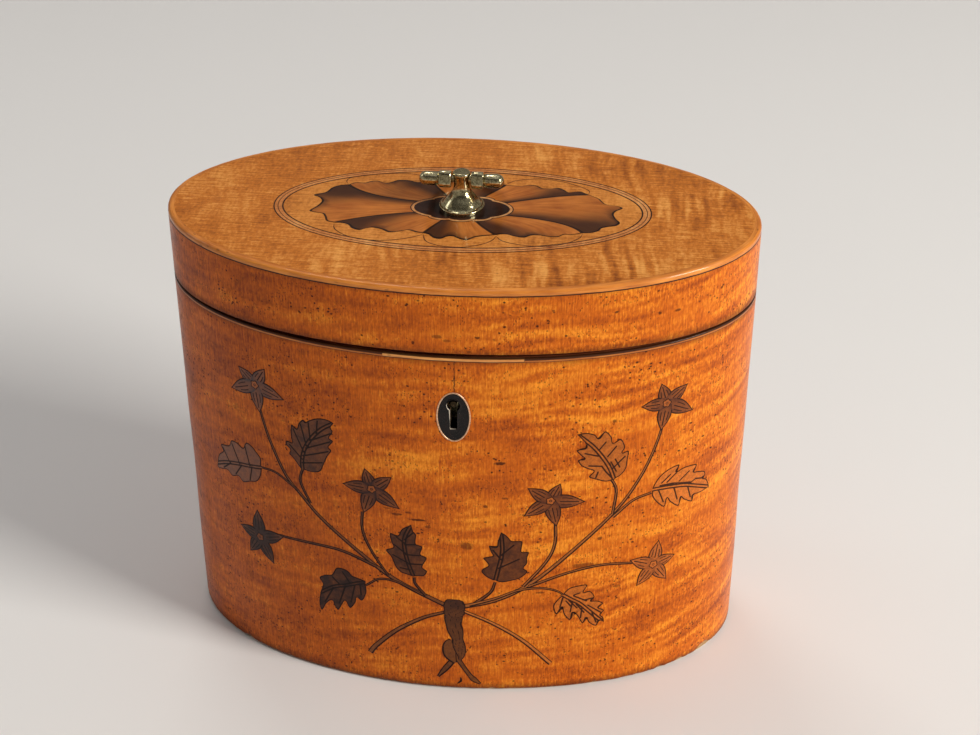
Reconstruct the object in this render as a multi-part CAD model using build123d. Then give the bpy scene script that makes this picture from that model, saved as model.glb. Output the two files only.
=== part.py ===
from build123d import *
import os
from math import asin, cos, degrees, hypot, pi, radians, sin, sqrt

# Oval tea caddy of satinwood veneer on a softwood carcass, in millimetres.
# X runs along the long axis, Y to the back, Z up; the front is at minus Y.
# The origin is the centre of the underside.

# Case
half_width = 76.0
half_depth = 42.0
body_height = 106.1
lid_side_height = 18.45
joint_gap = 0.45
lid_bow = 0.75
worn_foot = 0.3

# Thickness of the layers, from the outside in
veneer = 0.9
carcass = 6.6
lining = 2.2
foil = 0.3
base_thickness = 6.0
banding = 0.8
rim_string_height = 1.0
ledge_drop = 13.1

# Lid
board_thickness = 5.0
top_veneer = 0.8
edge_string = 1.7
edge_round = 0.8

# Oval patera let into the lid
patera_half_width = 48.4
patera_half_depth = 23.4
patera_ring_width = 2.6
patera_dark_line = 0.45
patera_turn = 2.1
eye_half_width = 11.8
eye_half_depth = 6.3

# Lock
lock_x = 2.6
lock_half_width = 13.0
patch_overhang = 4.4
lock_plate_thickness = 1.0
lock_plate_inset = 0.2
case_depth = 3.7
case_half_width = 10.5
case_wall = 0.6
case_below_key = 8.0
plate_below_case = 0.8
key_drop = 13.8
key_hole_radius = 1.65
key_slot_half_width = 0.9
key_slot_length = 6.8
key_pin_radius = 0.8
ward_radius = 3.4
ward_wall = 0.4
ward_length = 1.2

# Bolt and the staple that it shoots through
bolt_travel = 3.5
bolt_drop = 4.1
bolt_height = 3.2
bolt_thickness = 1.8
bolt_length = 13.25
nose_length = 4.5
nose_height = 2.2
nose_thickness = 0.8
stump_radius = 0.7
running_gap = 0.05
staple_x = 5.3
staple_thickness = 1.3
staple_width = 2.2
staple_bridge = 1.0
staple_gap = 0.4
hole_gap = 0.1
slot_gap = 0.3
spring_thickness = 0.3
talon_width = 5.0
talon_height = 3.6
talon_notch = 2.0

# Escutcheon
escutcheon_half_width = 4.3
escutcheon_half_height = 7.3
escutcheon_rim_width = 0.4
escutcheon_thickness = 1.2
escutcheon_recess = 0.2
escutcheon_drop = 3.3

# Butt hinges
hinge_spacing = 28.0
hinge_length = 16.0
hinge_knuckles = 5
knuckle_radius = 1.5
knuckle_gap = 0.15
hinge_pin_radius = 0.6
pin_head_radius = 0.95
pin_head_length = 0.3
leaf_depth = 5.6
leaf_thickness = 0.9
axis_proud = 0.15
hinge_notch_gap = 0.25

# Brass screws
screw_radius = 0.6
screw_head_radius = 1.2
screw_head_depth = 0.6
screw_length = 4.5
screw_slot = 0.3
hinge_screw_spread = 9.2

# Handle
foot_radius = 5.8
foot_edge = 0.6
stem_radius = 1.5
post_height = 10.7
post_top_radius = 2.15
pivot_height = 8.2
bail_pin_radius = 0.7
boss_gap = 1.0
boss_length = 3.2
boss_radius = 2.25
arm_radius = 1.75
arm_reach = 9.0
loop_radius = 1.0
loop_reach = 16.5
loop_rest_gap = 0.15
washer_radius = 3.9
washer_thickness = 0.6
nut_width = 5.4
nut_thickness = 1.6
nut_recess_gap = 0.3

# Inner lid and its knob
inner_lid_thickness = 3.0
inner_lid_gap = 0.4
knob_height = 7.0
knob_radius = 3.2
knob_foot_radius = 4.0
knob_neck_radius = 1.5
knob_dowel_radius = 1.2
knob_foot_edge = 0.3

# Outlines of the flower spray
leaf_fullness = 0.8
leaf_body = 0.9
leaf_scallop = 0.22
points_per_lobe = 3
star_waist = 0.42
strip_steps = 6
arc_steps = 60

# Heights and places that follow from the sizes above
lid_low = body_height + joint_gap
lid_low_middle = lid_low + lid_bow
top = lid_low + lid_side_height
board_high = top - top_veneer
board_low = board_high - board_thickness
wall_in = veneer + carcass
lining_in = wall_in + lining
foil_in = lining_in + foil
ledge = body_height - ledge_drop
hinge_y = half_depth + axis_proud
hinge_z = (body_height + lid_low_middle) / 2
key_z = body_height - key_drop
escutcheon_z = key_z - escutcheon_drop
plate_in_y = -(half_depth - wall_in + lock_plate_inset)
plate_out_y = plate_in_y - lock_plate_thickness
case_out_y = plate_out_y - case_depth
case_low = key_z - case_below_key
plate_low = case_low - plate_below_case
case_high = body_height - lock_plate_thickness
bolt_z = body_height - bolt_drop
bolt_y = plate_out_y - (case_depth - case_wall) / 2 + running_gap
pivot_z = top + pivot_height
loop_drop = pivot_height - loop_radius - loop_rest_gap
loop_tilt = degrees(asin(loop_drop / loop_reach))
clear_reach = 20.0


def oval(inset):
    """Oval of the case, drawn in by a thickness."""
    return Ellipse(half_width - inset, half_depth - inset)


def oval_block(inset, low, high):
    """Upright oval prism between two heights."""
    return extrude(Pos(0, 0, low) * oval(inset), high - low)


def oval_ring(outer_inset, inner_inset, low, high):
    """Upright oval tube between two heights."""
    return oval_block(outer_inset, low, high) - oval_block(inner_inset, low, high)


def block(x_low, x_high, y_low, y_high, z_low, z_high):
    """Box between two corners."""
    size = (x_high - x_low, y_high - y_low, z_high - z_low)
    middle = ((x_low + x_high) / 2, (y_low + y_high) / 2, (z_low + z_high) / 2)
    return Pos(*middle) * Box(*size)


def rod(start, direction, radius, length):
    """Round bar from a point along a direction."""
    return extrude(Plane(origin=start, z_dir=direction) * Circle(radius), length)


def under_bow(rise):
    """Space below the bowed underside of the lid, raised by a thickness."""
    reach = half_width + clear_reach
    end = lid_low + lid_bow * (1 - (reach / half_width) ** 2) + rise
    arc = ThreePointArc((-reach, end), (0, lid_low_middle + rise), (reach, end))
    floor = Polyline((reach, end), (reach, end - clear_reach), (-reach, end - clear_reach), (-reach, end))
    profile = make_face(arc + floor)
    return extrude(Plane.XZ * profile, 2 * half_width, both=True)


# Screws, all with slotted countersunk heads

def screw(head, direction):
    """Countersunk screw whose head lies flush at a point and whose shank follows the direction."""
    place = Plane(origin=head, z_dir=direction)
    profile = make_face(Polyline(
        (0, 0),
        (screw_head_radius, 0),
        (screw_radius, screw_head_depth),
        (screw_radius, screw_length - screw_radius),
        (0, screw_length),
        close=True,
    ))
    body = place * revolve(Plane.XZ * profile, Axis.Z)
    slot = place * Box(3 * screw_head_radius, screw_slot, screw_slot)
    return body - slot


def screw_hole(head, direction):
    """Space that a screw fills in the wood and in its plate."""
    place = Plane(origin=head, z_dir=direction)
    profile = make_face(Polyline(
        (0, 0),
        (screw_head_radius, 0),
        (screw_radius, screw_head_depth),
        (screw_radius, screw_length),
        (0, screw_length),
        close=True,
    ))
    return place * revolve(Plane.XZ * profile, Axis.Z)


# Hinges

def hinge_places():
    """Middle of each hinge along X."""
    return {"left": -hinge_spacing / 2, "right": hinge_spacing / 2}


def knuckle_span(index):
    """Start and end of one knuckle along its hinge."""
    pitch = hinge_length / hinge_knuckles
    start = -hinge_length / 2 + index * pitch
    return start + knuckle_gap / 2, start + pitch - knuckle_gap / 2


def hinge_leaf(x, low, first):
    """Leaf with every second knuckle, its plate lying from the height low upwards."""
    high = low + leaf_thickness
    plate_end = hinge_y - knuckle_radius - hinge_notch_gap
    half = hinge_length / 2
    leaf = block(x - half, x + half, hinge_y - leaf_depth, plate_end, low, high)
    for index in range(first, hinge_knuckles, 2):
        start, end = knuckle_span(index)
        leaf += block(x + start, x + end, plate_end, hinge_y, low, high)
        leaf += rod((x + start, hinge_y, hinge_z), (1, 0, 0), knuckle_radius, end - start)
    bore = rod((x - half, hinge_y, hinge_z), (1, 0, 0), hinge_pin_radius + running_gap, hinge_length)
    return leaf - bore


def hinge_screw_points(z):
    """Head positions of the screws of both hinges at one height."""
    y = hinge_y - (leaf_depth + knuckle_radius + hinge_notch_gap) / 2
    points = []
    for x in hinge_places().values():
        for side in (-1, 1):
            points.append((x + side * hinge_screw_spread / 2, y, z))
    return points


def hinge_body_leaf(x):
    """Leaf let into the rim of the body."""
    leaf = hinge_leaf(x, body_height - leaf_thickness, 0)
    for point in hinge_screw_points(body_height):
        leaf -= screw_hole(point, (0, 0, -1))
    return leaf


def hinge_lid_leaf(x):
    """Leaf let into the underside of the lid."""
    leaf = hinge_leaf(x, lid_low_middle, 1)
    for point in hinge_screw_points(lid_low_middle):
        leaf -= screw_hole(point, (0, 0, 1))
    return leaf


def hinge_pin(x):
    """Pin through the knuckles, with a thin head at each end."""
    start = x - hinge_length / 2
    pin = rod((start, hinge_y, hinge_z), (1, 0, 0), hinge_pin_radius, hinge_length)
    pin += rod((start, hinge_y, hinge_z), (-1, 0, 0), pin_head_radius, pin_head_length)
    pin += rod((start + hinge_length, hinge_y, hinge_z), (1, 0, 0), pin_head_radius, pin_head_length)
    return pin


def hinge_recess(low, high):
    """Space that the hinges need in the wood between two heights."""
    half = hinge_length / 2
    clear = knuckle_radius + hinge_notch_gap
    end_gap = pin_head_length + hinge_notch_gap
    recess = Part()
    for x in hinge_places().values():
        recess += block(x - half, x + half, hinge_y - leaf_depth, hinge_y + clear, low, high)
        start = (x - half - end_gap, hinge_y, hinge_z)
        recess += rod(start, (1, 0, 0), clear, hinge_length + 2 * end_gap)
    return recess


def body_hinge_cut():
    """Hinge recess and screw holes in the body."""
    cut = hinge_recess(body_height - leaf_thickness, body_height)
    for point in hinge_screw_points(body_height):
        cut += screw_hole(point, (0, 0, -1))
    return cut


def lid_hinge_cut():
    """Hinge recess and screw holes in the lid."""
    cut = hinge_recess(lid_low_middle - lid_bow, lid_low_middle + leaf_thickness)
    for point in hinge_screw_points(lid_low_middle):
        cut += screw_hole(point, (0, 0, 1))
    return cut


# Lock

def keyhole(y_out, depth):
    """Keyhole through the front, from one depth inwards."""
    round_part = Pos(lock_x, key_z) * Circle(key_hole_radius)
    slot = Pos(lock_x, key_z - key_slot_length / 2) * Rectangle(2 * key_slot_half_width, key_slot_length)
    return Pos(0, y_out + depth, 0) * extrude(Plane.XZ * (round_part + slot), depth)


def lock_screw_points():
    """Head positions of the screws that hold the lock plate to the wall."""
    x = (lock_half_width + case_half_width) / 2
    low = case_low + 2 * screw_head_radius
    high = bolt_z - screw_head_radius
    return [(lock_x + side * x, plate_in_y, z) for side in (-1, 1) for z in (low, high)]


def staple_span(gap):
    """Box that the staple takes below the link plate, with a gap round it."""
    x = lock_x + staple_x
    half_x = staple_thickness / 2 + gap
    half_y = staple_width / 2 + gap
    low = bolt_z - nose_height / 2 - hole_gap - staple_bridge
    return x - half_x, x + half_x, bolt_y - half_y, bolt_y + half_y, low, lid_low_middle


def lock_plate():
    """Plate on the inside of the wall, with its flange let into the rim."""
    x_low = lock_x - lock_half_width
    x_high = lock_x + lock_half_width
    plate = block(x_low, x_high, plate_out_y, plate_in_y, plate_low, body_height)
    plate += block(x_low, x_high, case_out_y, plate_out_y, case_high, body_height)
    for point in lock_screw_points():
        plate -= screw_hole(point, (0, -1, 0))
    staple = staple_span(slot_gap)
    plate -= block(staple[0], staple[1], case_out_y + case_wall, staple[3], case_high, body_height)
    plate -= rod((lock_x, plate_out_y, key_z), (0, 1, 0), key_pin_radius, lock_plate_thickness)
    stump_x = lock_x + stump_offset()
    plate -= rod((stump_x, plate_out_y, bolt_z), (0, 1, 0), stump_radius, lock_plate_thickness)
    return plate


def lock_case():
    """Shallow box that covers the works, open towards the plate and the flange."""
    x_low = lock_x - case_half_width
    x_high = lock_x + case_half_width
    case = block(x_low, x_high, case_out_y, plate_out_y, case_low, case_high)
    case -= block(
        x_low + case_wall,
        x_high - case_wall,
        case_out_y + case_wall,
        plate_out_y,
        case_low + case_wall,
        case_high,
    )
    return case - keyhole(case_out_y, case_wall)


def stump_offset():
    """Place of the stump along the lock."""
    return staple_x - staple_thickness / 2 - staple_gap - nose_length - stump_radius - 2 * running_gap


def bolt_stump():
    """Stump that the bolt slides on."""
    start = (lock_x + stump_offset(), plate_in_y, bolt_z)
    return rod(start, (0, -1, 0), stump_radius, lock_plate_thickness + case_depth - case_wall)


def lock_bolt():
    """Sliding bolt at rest, drawn back from the staple, with the talon that the key turns."""
    end = lock_x + staple_x - staple_thickness / 2 - staple_gap
    shoulder = end - nose_length
    tail = end - bolt_length
    y_low = bolt_y - bolt_thickness / 2
    y_high = bolt_y + bolt_thickness / 2
    z_low = bolt_z - bolt_height / 2
    z_high = bolt_z + bolt_height / 2
    bolt = block(tail, shoulder + stump_radius, y_low, y_high, z_low, z_high)
    nose_y = nose_thickness / 2
    nose_z = nose_height / 2
    bolt += block(shoulder, end, bolt_y - nose_y, bolt_y + nose_y, bolt_z - nose_z, bolt_z + nose_z)
    talon_x = lock_x - bolt_travel / 2
    talon = block(
        talon_x - talon_width / 2,
        talon_x + talon_width / 2,
        y_low,
        y_high,
        z_low - talon_height,
        z_low,
    )
    notch = block(
        talon_x - talon_notch / 2,
        talon_x + talon_notch / 2,
        y_low,
        y_high,
        z_low - talon_height,
        z_low - talon_height / 2,
    )
    bolt += talon - notch
    stump_x = lock_x + stump_offset()
    slot_radius = stump_radius + running_gap
    slot = block(stump_x - bolt_travel, stump_x, y_low, y_high, bolt_z - slot_radius, bolt_z + slot_radius)
    for x in (stump_x - bolt_travel, stump_x):
        slot += rod((x, y_low, bolt_z), (0, 1, 0), slot_radius, bolt_thickness)
    return bolt - slot


def bolt_spring():
    """Bowed leaf spring between the flange and the bolt."""
    left = lock_x - case_half_width + case_wall + spring_thickness
    right = lock_x + staple_x - staple_thickness / 2 - slot_gap - nose_length / 2
    middle = (left + right) / 2
    bow_low = bolt_z + bolt_height / 2 + 2 * running_gap
    end_low = case_high - spring_thickness
    lower = ThreePointArc((left, end_low), (middle, bow_low), (right, end_low))
    upper = ThreePointArc((left, case_high), (middle, bow_low + spring_thickness), (right, case_high))
    profile = make_face(lower + upper + Line(lower @ 0, upper @ 0) + Line(lower @ 1, upper @ 1))
    start = bolt_y + bolt_thickness / 2
    return Pos(0, start, 0) * extrude(Plane.XZ * profile, bolt_thickness)


def key_pin():
    """Pin that the barrel of the key turns on."""
    length = half_depth + plate_in_y - escutcheon_recess - escutcheon_thickness / 2
    return rod((lock_x, plate_in_y, key_z), (0, -1, 0), key_pin_radius, length)


def lock_ward():
    """Curved ward round the key pin, on the inside of the case."""
    start = (lock_x, case_out_y + case_wall, key_z)
    ring = rod(start, (0, 1, 0), ward_radius + ward_wall, ward_length)
    ring -= rod(start, (0, 1, 0), ward_radius, ward_length)
    reach = ward_radius + 2 * ward_wall
    start_y = case_out_y + case_wall
    return ring - block(
        lock_x - reach, lock_x + reach, start_y, start_y + ward_length, key_z - reach, key_z
    )


def lock_screws():
    """Four screws through the lock plate."""
    return [screw(point, (0, -1, 0)) for point in lock_screw_points()]


def lock_cut():
    """Mortise for the lock in the front wall, open to the inside and to the rim."""
    x_low = lock_x - lock_half_width
    x_high = lock_x + lock_half_width
    cut = block(x_low, x_high, plate_out_y, plate_in_y + carcass, plate_low, body_height)
    cut += block(x_low, x_high, case_out_y, plate_out_y, case_high, body_height)
    cut += block(
        lock_x - case_half_width,
        lock_x + case_half_width,
        case_out_y,
        plate_out_y,
        case_low,
        case_high,
    )
    for point in lock_screw_points():
        cut += screw_hole(point, (0, -1, 0))
    return cut


def link_screw_points():
    """Head positions of the screws of the link plate."""
    x = lock_half_width - 2 * screw_head_radius
    y = (case_out_y + plate_in_y) / 2
    return [(lock_x + side * x, y, lid_low_middle) for side in (-1, 1)]


def link_plate():
    """Plate in the underside of the lid, with the staple that the bolt locks."""
    x_low = lock_x - lock_half_width
    x_high = lock_x + lock_half_width
    high = lid_low_middle + lock_plate_thickness
    plate = block(x_low, x_high, case_out_y, plate_in_y, lid_low_middle, high)
    plate += block(*staple_span(0))
    half_y = nose_thickness / 2 + hole_gap
    half_z = nose_height / 2 + hole_gap
    middle = lock_x + staple_x
    plate -= block(
        middle - staple_thickness,
        middle + staple_thickness,
        bolt_y - half_y,
        bolt_y + half_y,
        bolt_z - half_z,
        bolt_z + half_z,
    )
    for point in link_screw_points():
        plate -= screw_hole(point, (0, 0, 1))
    return plate


def link_cut():
    """Recess for the link plate in the lid."""
    high = lid_low_middle + lock_plate_thickness
    x_low = lock_x - lock_half_width
    x_high = lock_x + lock_half_width
    cut = block(x_low, x_high, case_out_y, plate_in_y + carcass, lid_low, high)
    for point in link_screw_points():
        cut += screw_hole(point, (0, 0, 1))
    return cut


def escutcheon_block(inset, y_out, depth):
    """Oval prism of the escutcheon, drawn in by a width."""
    shape = Ellipse(escutcheon_half_width - inset, escutcheon_half_height - inset)
    flat = Plane.XZ * (Pos(lock_x, escutcheon_z) * shape)
    return Pos(0, y_out + depth, 0) * extrude(flat, depth)


def escutcheon_out_y():
    """Front face of the escutcheon's rim."""
    reach = abs(lock_x) + escutcheon_half_width
    return -half_depth * sqrt(1 - (reach / half_width) ** 2)


def escutcheon():
    """Dark oval plate with the keyhole."""
    front = escutcheon_out_y() + escutcheon_recess
    depth = escutcheon_thickness - escutcheon_recess
    plate = escutcheon_block(escutcheon_rim_width, front, depth)
    return plate - keyhole(front, depth)


def escutcheon_rim():
    """Thin light rim round the dark plate."""
    front = escutcheon_out_y()
    rim = escutcheon_block(0, front, escutcheon_thickness)
    return rim - escutcheon_block(escutcheon_rim_width, front, escutcheon_thickness)


def escutcheon_cut():
    """Recess for the escutcheon and the keyhole behind it."""
    front = escutcheon_out_y()
    cut = escutcheon_block(0, -half_depth - veneer, front + escutcheon_thickness + half_depth + veneer)
    return cut + keyhole(-half_depth, half_depth + plate_out_y)


# Flower spray let into the front veneer.
# Its places are arc length along the front from the middle, then height.

def front_x(arc_length):
    """X on the outer oval at an arc length from the middle of the front."""
    stride = arc_length / arc_steps
    angle = 0.0
    for _ in range(arc_steps):
        middle = angle + stride / hypot(half_width * cos(angle), half_depth * sin(angle)) / 2
        angle += stride / hypot(half_width * cos(middle), half_depth * sin(middle))
    return half_width * sin(angle)


def front_prism(points):
    """Prism through the front wall over a closed outline."""
    outline = [(front_x(s), z) for s, z in points]
    return extrude(Plane.XZ * make_face(Polyline(*outline, close=True)), half_depth)


def front_veneer_slice():
    """Front half of the body veneer, without what is let into it."""
    ring = oval_ring(0, veneer, worn_foot, body_height - rim_string_height)
    return ring & block(-half_width, half_width, -half_depth, 0, 0, body_height)


def leaf_outline(base, tip, width, lobes):
    """Lobed leaf: the half width swells as a sine, with a scallop for each lobe."""
    length = hypot(tip[0] - base[0], tip[1] - base[1])
    along = ((tip[0] - base[0]) / length, (tip[1] - base[1]) / length)
    across = (-along[1], along[0])
    count = points_per_lobe * lobes
    sides = []
    for side in (1, -1):
        edge = []
        for step in range(1, count):
            t = step / count
            swell = sin(pi * t ** leaf_fullness) * (leaf_body + leaf_scallop * abs(sin(lobes * pi * t)))
            reach = side * width / 2 * swell
            edge.append((
                base[0] + along[0] * length * t + across[0] * reach,
                base[1] + along[1] * length * t + across[1] * reach,
            ))
        sides.append(edge)
    return [base] + sides[0] + [tip] + sides[1][::-1]


def star_outline(centre, radius, petals, turn):
    """Star flower: long petals from a small middle."""
    points = []
    for step in range(2 * petals):
        reach = radius if step % 2 == 0 else star_waist * radius
        angle = radians(turn) + pi * step / petals
        points.append((centre[0] + reach * cos(angle), centre[1] + reach * sin(angle)))
    return points


def strip_outline(start, bend, end, start_width, end_width):
    """Curved strip along a quadratic curve, tapering from one width to another."""
    sides = ([], [])
    for step in range(strip_steps + 1):
        t = step / strip_steps
        s = (1 - t) ** 2 * start[0] + 2 * t * (1 - t) * bend[0] + t ** 2 * end[0]
        z = (1 - t) ** 2 * start[1] + 2 * t * (1 - t) * bend[1] + t ** 2 * end[1]
        run_s = (1 - t) * (bend[0] - start[0]) + t * (end[0] - bend[0])
        run_z = (1 - t) * (bend[1] - start[1]) + t * (end[1] - bend[1])
        run = hypot(run_s, run_z)
        half = (start_width + (end_width - start_width) * t) / 2
        sides[0].append((s - run_z / run * half, z + run_s / run * half))
        sides[1].append((s + run_z / run * half, z - run_s / run * half))
    return sides[0] + sides[1][::-1]


# Leaves: base, tip, width, lobes
spray_leaf_places = [
    ((-37.0, 67.5), (-34.2, 83.5), 13.5, 4),
    ((-50.5, 64.6), (-67.0, 60.0), 13.0, 4),
    ((-21.8, 32.5), (-35.6, 27.6), 12.5, 4),
    ((-8.2, 37.2), (-11.0, 53.2), 11.0, 4),
    ((42.6, 68.0), (34.6, 83.6), 12.0, 4),
    ((53.4, 61.8), (71.8, 60.4), 9.5, 5),
    ((13.0, 36.6), (15.8, 53.2), 11.5, 3),
    ((29.8, 33.2), (41.8, 21.8), 9.5, 4),
]

# Star flowers: centre, radius, petals, turn
spray_flower_places = [
    ((-50.2, 87.5), 7.2, 5, 98.0),
    ((-19.5, 64.6), 7.8, 5, 75.0),
    ((-53.8, 39.2), 7.4, 5, 86.0),
    ((57.1, 88.0), 7.6, 5, 88.0),
    ((27.6, 63.0), 8.0, 5, 82.0),
    ((55.8, 37.6), 7.0, 5, 84.0),
]

# Stems: start, bend, end, start width, end width
spray_stem_places = [
    ((0.2, 29.0), (-24.0, 37.5), (-36.5, 56.2), 1.5, 1.1),
    ((-36.5, 56.2), (-46.2, 66.5), (-49.8, 81.5), 1.1, 0.7),
    ((-21.6, 57.0), (-22.6, 46.0), (-14.2, 36.4), 0.8, 0.8),
    ((-47.0, 42.4), (-34.0, 43.8), (-18.4, 38.9), 0.7, 0.9),
    ((-37.4, 67.6), (-39.0, 63.0), (-37.2, 57.2), 0.7, 0.8),
    ((-50.7, 64.0), (-44.0, 61.2), (-39.3, 60.4), 0.7, 0.7),
    ((-21.8, 32.8), (-16.0, 36.4), (-8.0, 32.6), 0.7, 0.9),
    ((-8.3, 37.4), (-8.0, 34.8), (-5.6, 31.8), 0.7, 0.8),
    ((3.6, 28.8), (26.0, 36.5), (44.5, 58.4), 1.5, 1.1),
    ((44.5, 58.4), (52.6, 69.0), (56.2, 82.0), 1.1, 0.7),
    ((42.8, 68.2), (44.4, 62.5), (43.3, 56.9), 0.7, 0.8),
    ((53.6, 61.8), (48.0, 61.6), (43.4, 57.0), 0.7, 0.8),
    ((28.2, 56.6), (29.2, 46.0), (20.4, 35.0), 0.8, 0.9),
    ((49.8, 40.2), (36.0, 42.2), (22.5, 36.5), 0.7, 0.9),
    ((13.2, 37.0), (11.8, 33.6), (7.4, 29.8), 0.8, 0.9),
    ((30.0, 33.2), (19.0, 35.4), (7.0, 29.4), 0.7, 0.9),
    ((0.4, 27.8), (-12.0, 22.8), (-21.1, 10.1), 1.3, 1.0),
    ((4.2, 27.6), (18.0, 22.4), (27.4, 8.8), 1.3, 1.0),
]

# Ribbon: knot, crossing bands of the bow's tie, and two tails
spray_ribbon_places = [
    ((2.2, 31.2), (2.4, 27.0), (1.8, 22.6), 5.6, 4.4),
    ((1.8, 22.8), (4.4, 18.0), (1.2, 12.6), 4.4, 3.4),
    ((1.6, 14.6), (2.2, 9.0), (-2.2, 5.2), 2.4, 1.2),
    ((1.8, 14.2), (3.6, 8.0), (6.6, 2.8), 2.4, 1.2),
]


def fuse_prisms(outlines):
    """One shape from several outlines on the front."""
    shape = Part()
    for outline in outlines:
        shape += front_prism(outline)
    return shape


def spray_shapes():
    """Leaves, flowers, stems and ribbon as prisms that don't overlap each other."""
    leaves = fuse_prisms(leaf_outline(*place) for place in spray_leaf_places)
    flowers = fuse_prisms(star_outline(*place) for place in spray_flower_places) - leaves
    ribbon = fuse_prisms(strip_outline(*place) for place in spray_ribbon_places)
    stems = fuse_prisms(strip_outline(*place) for place in spray_stem_places)
    stems = stems - leaves - flowers - ribbon
    return {"leaves": leaves, "flowers": flowers, "stems": stems, "ribbon": ribbon}


# Body

def carcass_wall():
    """Softwood wall of the body."""
    wall = oval_ring(veneer, wall_in, 0, body_height - banding)
    return wall - body_hinge_cut() - lock_cut() - escutcheon_cut()


def base_board():
    """Oval bottom board inside the wall."""
    return oval_block(wall_in, 0, base_thickness)


def body_veneer(spray):
    """Satinwood veneer round the body, cut out for the spray and the escutcheon."""
    ring = oval_ring(0, veneer, worn_foot, body_height - rim_string_height)
    ring = ring - body_hinge_cut() - escutcheon_cut()
    for shape in spray.values():
        ring -= shape
    return ring


def patch_block():
    """Stretch of the rim's edge that the patch over the lock fills."""
    half = lock_half_width + patch_overhang
    low = body_height - rim_string_height
    return block(lock_x - half, lock_x + half, -half_depth, -half_depth / 2, low, body_height)


def rim_ring():
    """Whole stringing round the rim."""
    return oval_ring(0, veneer, body_height - rim_string_height, body_height)


def rim_stringing():
    """Boxwood line round the outer edge of the rim."""
    return rim_ring() - patch_block() - body_hinge_cut()


def lock_patch():
    """Strip let into the edge of the rim over the lock."""
    return rim_ring() & patch_block()


def rim_banding():
    """Mahogany banding on the top of the wall."""
    ring = oval_ring(veneer, wall_in, body_height - banding, body_height)
    return ring - body_hinge_cut() - lock_cut()


def ledge_lining():
    """Inner lining whose top edge carries the inner lid."""
    return oval_ring(wall_in, lining_in, base_thickness, ledge)


def foil_wall():
    """Tin foil on the lining."""
    return oval_ring(lining_in, foil_in, base_thickness, ledge)


def foil_floor():
    """Tin foil on the bottom board."""
    return oval_block(foil_in, base_thickness, base_thickness + foil)


# Lid

def lid_wall():
    """Softwood wall of the lid, under its board."""
    ring = oval_ring(veneer, wall_in, lid_low - banding, board_low)
    return ring - under_bow(banding) - lid_hinge_cut() - link_cut()


def lid_rim_banding():
    """Mahogany banding on the underside of the lid's wall."""
    ring = oval_ring(veneer, wall_in, lid_low - banding, lid_low_middle + 2 * banding)
    ring = ring & under_bow(banding)
    return ring - under_bow(0) - lid_hinge_cut() - link_cut()


def lid_veneer():
    """Satinwood veneer round the lid."""
    ring = oval_ring(0, veneer, lid_low - banding, top - edge_string)
    return ring - under_bow(0) - lid_hinge_cut()


def shank_hole(low, high):
    """Hole for the handle's shank."""
    return rod((0, 0, low), (0, 0, 1), stem_radius, high - low)


def lid_board():
    """Top board with a rebate for the edge stringing and a recess for the nut."""
    board = oval_block(veneer, board_low, board_high)
    board -= oval_ring(0, edge_string, top - edge_string, top)
    recess = nut_thickness + washer_thickness
    board -= rod((0, 0, board_low), (0, 0, 1), washer_radius + nut_recess_gap, recess)
    return board - shank_hole(board_low, board_high)


def lid_stringing():
    """Boxwood line round the top edge of the lid, its outer corner rounded over."""
    ring = oval_ring(0, edge_string, top - edge_string, top)
    corner = ring.edges().group_by(Axis.Z)[-1].sort_by(SortBy.LENGTH)[-1]
    return fillet(corner, edge_round)


def patera_oval(inset):
    """Oval of the patera, drawn in by a width and turned a little on the lid."""
    return Rot(0, 0, patera_turn) * Ellipse(patera_half_width - inset, patera_half_depth - inset)


def lid_top_veneer():
    """Satinwood veneer on the lid, round the patera."""
    return inlay(oval(edge_string) - patera_oval(0))


def patera_line(outer_inset, inner_inset):
    """One oval line of the patera's border."""
    return inlay(patera_oval(outer_inset) - patera_oval(inner_inset))


def patera_dark_lines():
    """Dark lines at the outside and the inside of the border."""
    outer = patera_line(0, patera_dark_line)
    inner = patera_line(patera_ring_width - patera_dark_line, patera_ring_width)
    return [outer, inner]


def patera_light_line():
    """Light band between the two dark lines."""
    return patera_line(patera_dark_line, patera_ring_width - patera_dark_line)


# Scalloped outer edge of each petal, from its right side on, in X and Y on the lid
petal_edges = [
    [
        (31.4, -10.2), (35.4, -8.8), (37.0, -6.0), (40.4, -3.8), (38.7, 1.0),
        (40.7, 4.3), (36.3, 6.2), (34.7, 8.9), (31.7, 10.9),
    ],
    [
        (31.7, 10.9), (29.3, 12.6), (26.6, 11.4), (23.5, 14.0),
        (19.5, 13.4), (16.0, 14.9), (12.6, 13.9), (9.8, 14.2),
    ],
    [(9.8, 14.2), (6.2, 16.2), (3.2, 14.9), (-1.0, 16.8), (-5.0, 15.0), (-9.4, 14.0)],
    [(-9.4, 14.0), (-13.2, 13.3), (-18.4, 14.3), (-21.7, 12.2), (-25.3, 13.0), (-28.2, 11.2), (-31.0, 10.4)],
    [(-31.0, 10.4), (-35.1, 8.1), (-39.0, 3.6), (-36.3, 0.4), (-38.4, -5.3), (-34.0, -8.1), (-31.0, -11.0)],
    [
        (-31.0, -11.0), (-27.6, -11.7), (-24.2, -14.3), (-21.2, -12.6),
        (-15.9, -14.7), (-12.0, -13.0), (-8.0, -14.2),
    ],
    [(-8.0, -14.2), (-3.4, -16.8), (-1.2, -15.1), (3.5, -16.7), (6.0, -14.6), (10.0, -13.4)],
    [(10.0, -13.4), (12.8, -12.8), (17.2, -14.0), (20.5, -12.3), (25.6, -12.8), (28.6, -11.0), (31.4, -10.2)],
]


def inlay(shape):
    """Piece of the lid's top veneer over a flat shape."""
    return extrude(Pos(0, 0, board_high) * shape, top_veneer)


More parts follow.
